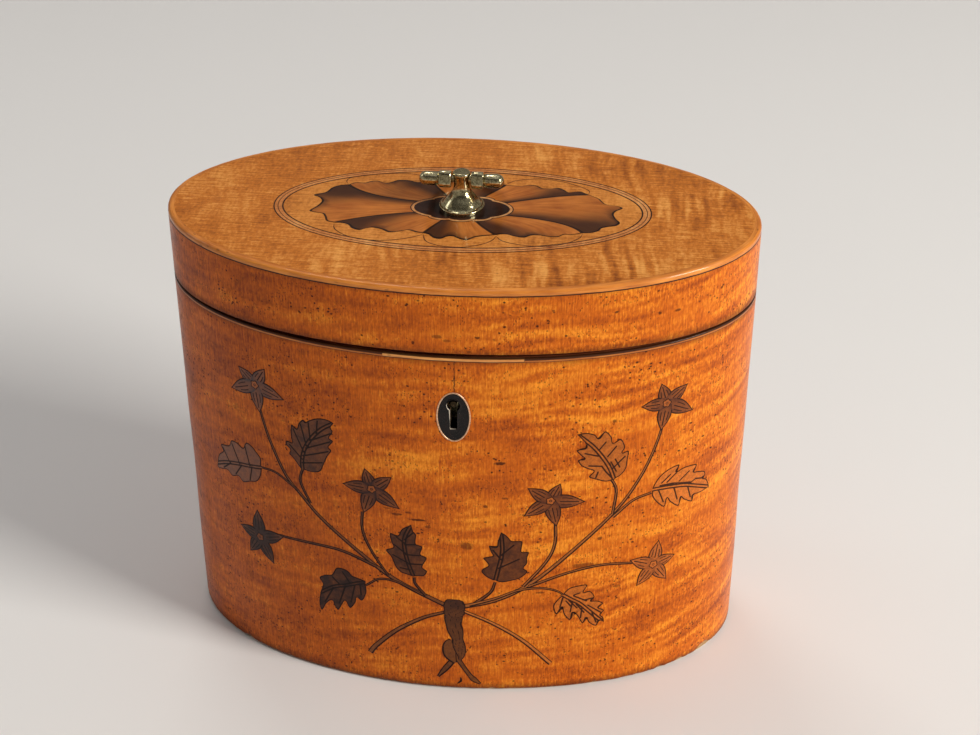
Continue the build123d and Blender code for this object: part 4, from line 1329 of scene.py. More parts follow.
@dataclass
class Patera:
    """Oval patera: ground, border lines, eight shaded petals, thin arcs and the dark middle."""

    form: CaseForm
    half_width: float = 48.4
    half_depth: float = 23.4
    turn: float = 2.1
    border: float = 2.6
    arc_half: float = 0.13
    eye_line: Point = (1.0, 0.7)
    proud: float = 0.035
    sunk: float = 0.4
    eye_half: Point = (11.9, 6.3)
    petal_start: float = 0.8
    outlines: tuple[tuple[Point, ...], ...] = (
        ((31.4, -10.2), (33.6, -9.8), (35.4, -8.6), (36.0, -7.2), (37.6, -6.2), (39.6, -5.4),
         (40.5, -3.8), (39.4, -1.8), (38.7, 0.6), (39.2, 2.4), (40.8, 4.2), (39.6, 5.2), (36.6, 5.9),
         (35.4, 7.4), (34.4, 9.0), (31.7, 10.9)),
        ((31.7, 10.9), (29.4, 12.5), (27.8, 12.0), (26.4, 11.7), (25.2, 13.0), (23.6, 14.0), (21.6, 13.4),
         (19.5, 13.4), (18.0, 14.6), (16.0, 14.9), (14.0, 14.0), (12.4, 14.0), (9.8, 14.2)),
        ((9.8, 14.2), (8.2, 15.6), (6.2, 16.2), (4.6, 15.2), (3.2, 14.9), (1.4, 16.4), (-1.0, 16.8),
         (-3.0, 15.4), (-5.0, 15.0), (-7.0, 15.6), (-9.4, 14.0)),
        ((-9.4, 14.0), (-11.4, 14.2), (-13.2, 13.4), (-15.4, 14.3), (-18.4, 14.3), (-20.2, 12.8),
         (-21.7, 12.2), (-23.6, 13.2), (-25.3, 13.0), (-26.8, 11.8), (-28.2, 11.7), (-29.6, 11.6),
         (-31.0, 10.4)),
        ((-31.0, 10.4), (-33.4, 9.6), (-35.1, 8.0), (-36.2, 5.4), (-39.0, 3.6), (-37.4, 2.4),
         (-36.3, 0.4), (-37.0, -2.4), (-38.5, -5.2), (-36.8, -6.0), (-35.0, -6.4), (-34.0, -8.1),
         (-33.2, -10.2), (-31.0, -11.0)),
        ((-31.0, -11.0), (-29.2, -11.0), (-27.4, -11.7), (-26.2, -13.4), (-24.2, -14.3), (-22.6, -13.2),
         (-21.0, -12.6), (-18.6, -13.4), (-16.6, -14.7), (-14.2, -14.0), (-12.0, -13.1), (-9.8, -14.0),
         (-8.0, -14.2)),
        ((-8.0, -14.2), (-6.6, -14.8), (-5.2, -16.4), (-3.4, -16.8), (-1.8, -15.4), (-0.4, -15.2),
         (1.8, -16.6), (3.5, -16.7), (5.0, -15.2), (7.2, -14.2), (10.0, -13.4)),
        ((10.0, -13.4), (12.4, -12.7), (14.8, -13.6), (17.2, -14.0), (19.0, -12.6), (21.0, -12.4),
         (23.4, -13.0), (25.6, -12.8), (27.0, -11.4), (29.0, -11.3), (31.4, -10.2)),
    )
    side_bends: tuple[Point, ...] = (
        (27.6, -3.6), (23.6, 10.2), (8.4, 11.6), (-7.6, 10.4), (-25.6, 3.4), (-21.0, -5.0), (-5.6, -9.0),
        (4.8, -8.4),
    )
    arcs: tuple[tuple[Point, ...], ...] = (
        ((-31.2, 10.6), (-31.9, 12.4), (-31.2, 14.2), (-28.9, 15.6), (-26.6, 16.5), (-22.5, 17.6),
         (-18.7, 18.1), (-14.0, 17.9), (-9.4, 14.6)),
        ((9.8, 14.4), (11.4, 16.4), (14.0, 17.8), (18.6, 18.7), (24.3, 17.7), (29.0, 15.4), (31.6, 13.2),
         (31.7, 11.2)),
        ((-31.0, -11.4), (-30.4, -14.2), (-27.9, -16.8), (-24.2, -18.7), (-20.1, -19.2), (-15.8, -18.7),
         (-12.0, -17.4), (-8.9, -15.6), (-8.0, -14.5)),
        ((-8.0, -14.6), (-6.9, -18.1), (-4.3, -19.9), (-1.0, -20.6), (2.6, -20.5), (5.6, -19.4),
         (8.0, -17.9), (9.6, -16.0), (10.2, -14.0)),
        ((10.2, -14.0), (11.9, -16.2), (15.4, -17.6), (20.4, -18.2), (24.6, -17.6), (28.4, -15.5),
         (30.9, -12.8), (31.5, -10.5)),
        ((-9.4, 14.4), (-5.8, 19.0), (0.4, 20.6), (6.4, 19.2), (9.8, 14.5)),
    )

    def build(self) -> None:
        """Build all pieces of the patera."""
        self._ground()
        self._border()
        self._petals()
        self._arcs()
        self._eye()

    def _turned(self, flat: Array) -> Array:
        """Turn flat points by the small angle at which the patera lies.

        Args:
            flat: Places across and along the lid.

        Returns:
            The turned places.
        """
        angle = np.radians(self.turn)
        x = flat[..., 0] * np.cos(angle) - flat[..., 1] * np.sin(angle)
        y = flat[..., 0] * np.sin(angle) + flat[..., 1] * np.cos(angle)
        return np.stack([x, y], -1)

    def _plate(
        self, piece: Piece, flat: Array, proud: float,
        plan: Array | None = None, disc: bool = False, **values: Array
    ) -> None:
        """Add a thin plate that lies in the lid over a flat grid.

        Args:
            piece: Where it goes.
            flat: Places across and along the lid.
            proud: Height of its face over the lid.
            plan: Place on the piece's own plan, where it isn't the flat grid.
            disc: Whether the rows are rings that grow from one middle point.
            values: Values that the finish reads, for each point.
        """
        top = np.concatenate([flat, np.full((*flat.shape[:2], 1), self.form.top + proud)], -1)
        bottom = top - np.array([0.0, 0.0, proud + self.sunk])
        piece.slab(top, bottom, flat if plan is None else plan, disc, **values)

    def _oval_ring(self, outer: float, inner: float) -> Array:
        """Flat oval ring between two insets from the patera's outline.

        Args:
            outer: Inset of its outer edge.
            inner: Inset of its inner edge.

        Returns:
            Rows of places from edge to edge.
        """
        angle = np.linspace(0, 2 * np.pi, 241)[None, :]
        inset = np.linspace(outer, inner, 3)[:, None]
        x = (self.half_width - inset) * np.cos(angle)
        y = (self.half_depth - inset) * np.sin(angle)
        return self._turned(np.stack([x, y], -1))

    def _ring_plate(self, piece: Piece, flat: Array, proud: float) -> None:
        """Add a closed flat ring: its top, its walls and its underside, once round.

        Args:
            piece: Where it goes.
            flat: Rows of places, the outer edge first.
            proud: Height of its face over the lid.
        """
        low = self.form.top - self.sunk
        high = self.form.top + proud

        def at(line: Array, height: float) -> Array:
            """Points of a line at a height."""
            return np.concatenate([line, np.full((len(line), 1), height)], -1)

        loop = [at(flat[0], low), at(flat[0], high), at(flat[-1], high), at(flat[-1], low), at(flat[0], low)]
        piece.grid(np.stack(loop))

    def _ground(self) -> None:
        """Satinwood ground under the petals: an oval plate."""
        angle = np.linspace(0, 2 * np.pi, 241)[None, :]
        share = np.linspace(0, 1, 12)[:, None]
        half_x = self.half_width - self.border
        half_y = self.half_depth - self.border
        flat = self._turned(np.stack([share * half_x * np.cos(angle), share * half_y * np.sin(angle)], -1))
        piece = Piece("patera_ground_plate")
        self._plate(piece, flat, 0.0, disc=True)
        finish = TopVeneer("satinwood_ground", middle=srgb(206, 126, 50), light=srgb(234, 158, 76), curl=0.55)
        piece.make(finish.make(), "lid", "satinwood", "patera_ground")
        log.info("patera ground")

    def _border(self) -> None:
        """Lines of the border: three dark rings with pale ones between them."""
        dark = Piece("patera_border_dark")
        for outer, inner in ((0.0, 0.32), (1.08, 1.26), (2.22, self.border)):
            self._ring_plate(dark, self._oval_ring(outer, inner), self.proud)
        dark.make(DarkLine("ebony_border").make(), "lid", "ebony", "patera_dark_lines")
        pale = Piece("patera_border_pale")
        for outer, inner in ((0.32, 1.08), (1.26, 2.22)):
            self._ring_plate(pale, self._oval_ring(outer, inner), self.proud * 0.5)
        finish = TopVeneer("boxwood_border", srgb(164, 88, 40), srgb(204, 128, 66), srgb(230, 166, 98))
        pale.make(finish.make(), "lid", "boxwood", "patera_light_line")
        log.info("patera border")

    def _eye_point(self, angle: Array, grow: float) -> Array:
        """Lobed outline of the dark middle: an oval that swells eight times, widest at its two ends.

        Args:
            angle: Angles round the middle.
            grow: Distance outside the dark middle.

        Returns:
            Flat places, turned with the patera.
        """
        cusps = np.array([0, 48, 76, 104, 132, 180, 228, 256, 284, 312, 360])
        swings = np.array([0, 90, 270, 450, 630, 720, 810, 990, 1170, 1350, 1440])
        swell = 0.93 + 0.1 * np.abs(np.cos(np.radians(np.interp(np.degrees(angle), cusps, swings)))) ** 0.6
        x = (self.eye_half[0] * swell + grow) * np.cos(angle)
        y = (self.eye_half[1] * swell + grow) * np.sin(angle)
        return self._turned(np.stack([x, y], -1))

    def _petals(self) -> None:
        """Eight petals between curved sides.

        Each side is a quadratic curve from the dark middle to the petal's corner. Across the
        petal the two sides are blended, and the scalloped edge's departure from its chord is
        added in proportion to the cube of the distance out.
        """
        piece = Piece("patera_petal_plates")
        rows, columns = 40, 121
        out = np.linspace(0, 1, rows)[:, None, None]
        across = np.linspace(0, 1, columns)[None, :, None]
        for index, outline in enumerate(self.outlines):
            edge = resample(smooth_path(outline, 8), columns)[None, :, :]
            sides = []
            bends = (self.side_bends[index], self.side_bends[(index + 1) % len(self.side_bends)])
            for corner, bend in zip((edge[0, 0], edge[0, -1]), bends):
                foot = corner * self.petal_start / np.hypot(*(corner / self.eye_half))
                sides.append((1 - out) ** 2 * foot + 2 * out * (1 - out) * np.array(bend) + out**2 * corner)
            ruled = (1 - across) * sides[0] + across * sides[1]
            chord = (1 - across) * edge[:, :1] + across * edge[:, -1:]
            flat = ruled + (edge - chord) * out**3
            reach = np.linalg.norm(edge - sides[0][:1], axis=-1, keepdims=True)
            rim = ((1 - out) * reach)[..., 0]
            width = np.linalg.norm(sides[1] - sides[0], axis=-1)
            flank = np.minimum(across[..., 0], 1 - across[..., 0]) * width
            shade = np.broadcast_to(1 - across[..., 0], rim.shape)
            plan = np.stack([np.broadcast_to(across[..., 0] * 12 + 40 * index, rim.shape), rim], -1)
            self._plate(piece, flat, self.proud, plan, shade=shade, rim=rim, flank=flank)
        piece.make(ShadedPetal("scorched_satinwood").make(), "lid", "shaded_satinwood", "patera_petals")
        log.info("patera petals")

    def _line_plate(self, piece: Piece, path: Array) -> None:
        """Add a thin flat line along a path, pointed at its ends.

        Args:
            piece: Where it goes.
            path: Places across and along the lid.
        """
        side = beside(path)
        place = np.linspace(0, 1, len(path))[:, None]
        width = self.arc_half * np.clip(np.minimum(place, 1 - place) * 14, 0.25, 1)
        self._plate(piece, np.stack([path - side * width, path + side * width]), self.proud * 0.8)

    def _arcs(self) -> None:
        """Thin dark arcs round the petals."""
        piece = Piece("patera_thin_arcs")
        for arc in self.arcs:
            self._line_plate(piece, resample(smooth_path(arc, 10), 90))
        piece.make(DarkLine("ebony_arcs", light=srgb(120, 62, 30)).make(), "lid", "ebony")
        log.info("patera arcs")

    def _eye(self) -> None:
        """Dark middle with a pale lobed outline and a thin dark line round it."""
        angle = np.linspace(0, 2 * np.pi, 321)
        share = np.linspace(0, 1, 8)[:, None, None]
        outer, middle, inner = (self._eye_point(angle, grow) for grow in (*self.eye_line, 0.0))
        dark = Piece("patera_middle")
        self._plate(dark, share * inner[None], self.proud * 1.6, disc=True)
        self._ring_plate(dark, np.stack([outer, middle]), self.proud * 1.4)
        dark.make(DarkLine("ebony_middle", light=srgb(70, 40, 28)).make(), "lid", "ebony", "patera_eye")
        pale = Piece("patera_middle_outline")
        self._ring_plate(pale, np.stack([middle, inner]), self.proud * 1.5)
        finish = TopVeneer("boxwood_outline", srgb(150, 88, 46), srgb(206, 142, 84), srgb(232, 178, 118))
        pale.make(finish.make(), "lid", "boxwood")
        log.info("patera middle")


# The spray on the front


@dataclass(frozen=True)
class Leaf:
    """A leaf: rib, margins left and right of it from base to tip, veins, how dark it is, and how grey from
    faded stain and painted sheen.
    """

    rib: tuple[Point, ...]
    left: tuple[Point, ...]
    right: tuple[Point, ...]
    veins: tuple[tuple[Point, ...], ...]
    tone: float
    greying_and_sheen: float = 0.0


@dataclass(frozen=True)
class Star:
    """A star flower: middle, tips of its petals, how dark its stain is, and how grey from faded stain and
    painted sheen.
    """

    middle: Point
    tips: tuple[Point, ...]
    tone: float
    greying_and_sheen: float = 0.0


@dataclass(frozen=True)
class Stem:
    """A stem: points on its way, with its first and last width, and how dark it is."""

    way: tuple[Point, ...]
    first: float
    last: float
    tone: float


# The last number of a leaf, and of a star, is how grey it is: faded stain, and on the inlays high on the far
# left painted sheen too.
LEAVES = (
    Leaf(
        ((-38.0, 66.3), (-38.0, 69.2), (-37.0, 73.2), (-34.5, 77.5), (-31.6, 80.7), (-28.4, 83.0)),
        ((-38.5, 66.5), (-40.7, 69.4), (-41.7, 70.3), (-41.3, 71.7), (-42.5, 73.0), (-42.2, 74.2),
         (-40.6, 74.1), (-40.8, 75.8), (-40.5, 79.6), (-39.0, 78.7), (-38.3, 80.6), (-37.0, 82.1),
         (-36.4, 81.4), (-35.1, 82.4), (-32.8, 83.5), (-30.2, 83.7), (-28.4, 83.0)),
        ((-37.5, 66.4), (-35.4, 66.3), (-33.0, 67.1), (-31.8, 69.6), (-30.7, 72.2), (-29.5, 74.3),
         (-30.2, 75.3), (-28.9, 77.3), (-29.9, 78.2), (-28.8, 80.2), (-29.3, 81.5), (-28.4, 83.0)),
        (((-38.0, 69.7), (-41.4, 73.3)), ((-37.4, 72.1), (-40.0, 78.5)), ((-36.5, 74.2), (-37.8, 80.6)),
         ((-35.3, 76.4), (-35.5, 81.5)), ((-33.4, 78.7), (-32.9, 82.7)), ((-38.0, 68.5), (-32.2, 70.0)),
         ((-37.6, 70.8), (-30.4, 73.9)), ((-36.7, 73.4), (-29.6, 77.1)), ((-35.3, 76.1), (-29.5, 79.6))),
        0.84, 0.15,
    ),
    Leaf(
        ((-50.7, 62.9), (-54.7, 61.9), (-59.0, 60.9), (-63.6, 59.3), (-67.8, 57.1)),
        ((-51.0, 63.4), (-50.9, 65.8), (-52.2, 67.3), (-53.3, 68.4), (-55.4, 69.1), (-56.7, 66.9),
         (-58.3, 67.5), (-59.5, 67.8), (-61.0, 67.4), (-62.1, 65.4), (-65.3, 64.3), (-64.5, 62.7),
         (-66.7, 60.3), (-67.8, 57.1)),
        ((-50.8, 62.5), (-51.4, 60.0), (-52.8, 57.7), (-55.1, 56.7), (-57.8, 55.5), (-59.4, 56.7),
         (-61.8, 55.7), (-63.5, 56.8), (-65.9, 56.0), (-67.7, 55.6), (-67.8, 57.1)),
        (((-54.8, 61.9), (-56.0, 67.8)), ((-58.4, 61.0), (-60.8, 66.7)), ((-62.3, 59.8), (-64.6, 63.7)),
         ((-54.1, 61.8), (-55.2, 57.2)), ((-57.7, 61.0), (-60.3, 57.0)), ((-61.9, 59.8), (-65.0, 57.0))),
        0.7, 0.85,
    ),
    Leaf(
        ((-21.8, 33.7), (-24.2, 32.8), (-27.6, 31.3), (-31.1, 29.9), (-35.1, 26.9)),
        ((-22.0, 34.1), (-24.1, 34.6), (-25.6, 35.0), (-26.4, 36.0), (-28.0, 36.7), (-30.0, 36.4),
         (-31.4, 33.9), (-33.3, 33.3), (-35.1, 31.9), (-34.2, 29.9), (-35.1, 26.9)),
        ((-21.9, 33.1), (-21.7, 30.3), (-23.0, 27.2), (-24.5, 27.9), (-25.0, 26.0), (-26.6, 23.8),
         (-27.8, 26.0), (-28.8, 24.6), (-30.1, 22.2), (-31.1, 23.6), (-31.7, 25.2), (-33.4, 23.7),
         (-35.0, 20.8), (-35.6, 23.5), (-35.1, 26.9)),
        (((-27.6, 31.1), (-29.6, 24.8)), ((-24.9, 32.0), (-26.2, 26.0)), ((-31.1, 29.6), (-33.9, 23.9)),
         ((-23.4, 32.6), (-23.2, 29.1)), ((-26.2, 32.3), (-28.3, 35.7)), ((-29.1, 31.1), (-31.3, 33.2))),
        0.96,
    ),
    Leaf(
        ((-8.6, 37.8), (-9.8, 41.6), (-10.7, 46.0), (-10.7, 50.2), (-8.8, 54.8)),
        ((-8.9, 37.9), (-10.7, 38.4), (-12.1, 38.9), (-13.4, 40.5), (-14.4, 43.4), (-15.8, 45.5),
         (-13.8, 46.7), (-14.3, 48.6), (-14.5, 51.2), (-12.5, 50.7), (-11.3, 53.0), (-8.8, 54.8)),
        ((-8.3, 38.0), (-7.1, 38.2), (-5.8, 38.4), (-5.0, 40.0), (-6.2, 41.3), (-5.0, 44.3), (-6.6, 45.4),
         (-6.1, 47.9), (-7.8, 48.7), (-7.6, 51.5), (-8.4, 52.8), (-8.8, 54.8)),
        (((-10.1, 42.2), (-14.0, 44.3)), ((-10.5, 45.1), (-13.4, 47.6)), ((-10.7, 48.4), (-12.9, 50.3)),
         ((-9.8, 41.9), (-6.0, 42.1)), ((-10.4, 44.8), (-6.7, 45.0)), ((-10.7, 48.0), (-7.4, 48.5)),
         ((-9.5, 40.0), (-12.1, 40.3)), ((-10.7, 49.7), (-8.4, 52.2))),
        0.9,
    ),
    Leaf(
        ((43.4, 67.9), (42.1, 71.7), (40.3, 75.1), (38.0, 78.5), (35.9, 80.8), (33.4, 83.2)),
        ((43.1, 68.1), (41.2, 67.8), (38.7, 68.8), (36.7, 69.9), (37.9, 71.5), (36.3, 72.4), (34.5, 73.7),
         (33.8, 75.4), (35.5, 75.5), (34.4, 76.8), (33.4, 78.4), (35.7, 78.8), (35.7, 80.1), (34.8, 81.4),
         (33.4, 83.2)),
        ((43.6, 68.4), (45.1, 69.2), (46.4, 71.0), (46.7, 73.5), (46.9, 76.3), (45.2, 76.0), (45.9, 77.7),
         (44.7, 80.3), (42.7, 79.4), (42.2, 81.4), (40.5, 83.3), (39.0, 81.3), (37.9, 82.6), (35.8, 83.4),
         (33.4, 83.2)),
        (((42.8, 68.6), (41.1, 70.8), (39.9, 72.8)), ((36.6, 73.3), (39.7, 72.8)),
         ((35.5, 77.2), (38.9, 76.0)), ((39.3, 78.1), (40.8, 80.0)), ((41.4, 75.5), (43.6, 78.3)),
         ((42.8, 71.6), (46.0, 74.8)), ((42.3, 73.7), (43.8, 70.6)), ((43.4, 74.4), (44.7, 71.7)),
         ((38.5, 69.5), (39.0, 71.1))),
        0.3,
    ),
    Leaf(
        ((53.9, 62.5), (55.8, 62.4), (59.7, 61.9), (63.9, 60.9), (68.3, 58.9), (72.4, 56.8)),
        ((54.1, 63.0), (54.7, 64.4), (56.0, 66.2), (57.8, 67.4), (59.8, 68.1), (61.7, 68.1), (60.7, 66.2),
         (63.5, 66.8), (67.3, 66.2), (66.3, 64.3), (68.0, 63.7), (70.2, 62.8), (70.5, 61.4), (69.5, 61.0),
         (71.1, 59.9), (72.0, 58.2), (72.4, 56.8)),
        ((54.0, 61.9), (54.1, 60.4), (55.6, 58.0), (57.8, 56.0), (58.4, 58.6), (59.6, 56.9), (62.2, 54.8),
         (62.7, 57.5), (63.8, 56.3), (66.5, 54.6), (66.6, 56.6), (68.5, 56.4), (70.4, 56.5), (72.4, 56.8)),
        (((55.8, 61.9), (57.4, 57.7)), ((60.4, 61.2), (61.6, 57.2)), ((64.8, 59.9), (65.9, 56.3)),
         ((61.9, 62.9), (64.9, 65.0)), ((56.6, 63.9), (59.1, 65.9)),
         ((65.1, 60.8), (67.2, 61.7), (69.8, 60.8)), ((58.2, 63.7), (60.8, 65.8)),
         ((56.2, 63.2), (59.8, 62.9), (65.4, 61.3))),
        0.06,
    ),
    Leaf(
        ((12.9, 38.0), (13.7, 41.8), (14.7, 47.3), (14.4, 53.7)),
        ((12.3, 38.1), (10.8, 39.0), (9.4, 40.6), (9.6, 41.7), (11.1, 42.8), (10.5, 44.2), (9.8, 45.3),
         (11.3, 45.8), (12.3, 46.1), (11.8, 47.3), (11.3, 49.3), (12.4, 49.0), (13.3, 49.0), (13.6, 50.9),
         (14.4, 53.7)),
        ((13.4, 37.7), (14.9, 37.4), (17.2, 37.9), (19.5, 38.7), (21.3, 40.7), (20.3, 41.9), (21.2, 43.5),
         (21.2, 45.3), (21.6, 47.1), (19.8, 47.2), (19.8, 49.0), (19.9, 50.6), (18.6, 50.8), (17.1, 50.9),
         (16.3, 52.0), (15.4, 53.0), (14.4, 53.7)),
        (((14.3, 44.9), (12.3, 47.9)), ((14.4, 46.2), (17.7, 49.5)), ((13.8, 42.0), (19.1, 44.9))),
        0.86,
    ),
    Leaf(
        ((30.6, 32.5), (33.1, 30.6), (35.3, 29.0), (37.9, 26.1), (40.5, 23.1), (42.1, 21.6)),
        ((30.8, 32.7), (32.3, 34.4), (34.4, 35.0), (37.2, 35.0), (36.2, 32.7), (38.0, 32.8), (39.3, 30.7),
         (38.2, 29.6), (40.2, 29.2), (41.7, 28.1), (40.3, 27.0), (42.0, 25.7), (41.0, 24.4), (41.9, 23.2),
         (42.1, 21.6)),
        ((30.2, 32.0), (28.9, 30.4), (28.2, 28.7), (29.1, 25.9), (30.5, 28.4), (31.1, 25.9), (32.8, 23.7),
         (33.4, 26.3), (34.7, 25.0), (36.2, 22.1), (37.1, 24.1), (38.0, 22.1), (40.0, 20.7), (40.6, 22.5),
         (42.1, 21.6)),
        (((30.7, 31.4), (30.0, 28.3)), ((33.3, 29.8), (32.8, 26.5)), ((35.9, 27.4), (35.6, 24.2)),
         ((33.6, 31.8), (37.1, 29.7)), ((36.7, 30.1), (39.1, 30.5)), ((37.5, 28.2), (41.6, 24.7)),
         ((31.6, 30.3), (33.0, 28.3)), ((32.4, 30.4), (34.6, 27.6)), ((34.3, 29.0), (36.5, 25.9)),
         ((38.7, 25.4), (39.9, 22.0)), ((35.3, 32.6), (33.7, 32.1))),
        0.16,
    ),
)

STARS = (
    Star(
        (-50.9, 88.6),
        ((-55.9, 92.6), (-47.3, 94.5), (-42.1, 86.6), (-49.9, 80.3), (-59.1, 84.8)),
        0.72, 0.75,
    ),
    Star(
        (-19.0, 64.6),
        ((-20.7, 70.8), (-13.5, 69.2), (-11.7, 59.4), (-21.5, 56.4), (-26.9, 64.8)),
        0.82, 0.05,
    ),
    Star(
        (-53.4, 39.1),
        ((-53.7, 48.1), (-45.3, 42.2), (-49.2, 31.6), (-57.3, 32.8), (-60.4, 40.4)),
        1.0, 0.0,
    ),
    Star((56.8, 88.4), ((55.0, 94.7), (62.7, 92.6), (64.8, 83.9), (55.5, 80.4), (49.7, 88.9)), 0.66, 0.0),
    Star((27.0, 63.3), ((29.5, 68.6), (36.0, 62.3), (28.7, 55.0), (20.1, 58.7), (21.1, 67.6)), 0.66, 0.0),
    Star((55.5, 37.8), ((56.8, 45.5), (62.1, 39.0), (59.7, 31.6), (50.8, 31.8), (48.6, 41.0)), 0.24, 0.0),
)

STEMS = (
    Stem(
        ((0.4, 28.9), (-13.9, 36.3), (-22.1, 42.4), (-33.2, 51.6), (-38.6, 57.6), (-43.4, 63.4),
         (-47.6, 73.3), (-49.5, 80.2), (-50.0, 82.6)),
        1.5, 0.8, 0.75,
    ),
    Stem(((-21.8, 56.8), (-22.0, 50.8), (-19.8, 44.4), (-15.4, 37.0)), 0.9, 0.8, 0.85),
    Stem(((-46.8, 42.2), (-33.7, 42.9), (-26.6, 42.3), (-18.4, 39.4)), 0.8, 1.1, 0.85),
    Stem(((-37.8, 67.2), (-38.9, 62.4), (-36.4, 56.0)), 0.8, 0.9, 0.85),
    Stem(((-50.9, 63.0), (-46.0, 62.8), (-39.8, 59.2)), 0.7, 0.8, 0.75),
    Stem(((-21.8, 32.6), (-17.7, 35.6), (-12.6, 35.2), (-6.6, 32.2)), 0.7, 0.9, 0.75),
    Stem(((-8.5, 37.6), (-8.1, 35.4), (-5.4, 31.8)), 0.8, 1.0, 0.9),
    Stem(
        ((4.2, 29.0), (13.4, 31.6), (22.4, 36.9), (32.8, 46.5), (44.5, 58.6), (50.0, 66.6), (53.4, 73.7),
         (55.3, 79.4), (56.0, 82.4)),
        1.5, 0.8, 0.45,
    ),
    Stem(((42.0, 69.4), (44.0, 64.7), (43.3, 57.2)), 0.8, 0.9, 0.55),
    Stem(((53.8, 61.7), (48.6, 60.4), (43.4, 56.2)), 0.8, 1.0, 0.4),
    Stem(((28.4, 56.2), (28.3, 49.2), (26.0, 43.4), (20.2, 35.8)), 0.9, 1.0, 0.45),
    Stem(((49.6, 40.0), (41.0, 41.0), (32.0, 39.6), (21.6, 35.8)), 0.8, 1.0, 0.5),
    Stem(((12.9, 37.4), (11.6, 34.0), (7.2, 29.9)), 0.8, 1.2, 0.75),
    Stem(
        ((31.4, 31.8), (29.2, 33.8), (24.8, 35.1), (19.0, 34.6), (13.0, 32.0), (6.0, 29.6)),
        0.6, 1.1, 0.35,
    ),
    Stem(((-0.4, 26.9), (-6.5, 24.2), (-13.6, 19.0), (-19.3, 12.8), (-21.4, 9.6)), 1.1, 1.6, 0.7),
    Stem(((4.6, 27.5), (12.3, 23.5), (20.1, 17.6), (27.8, 9.0)), 1.1, 1.4, 0.1),
)


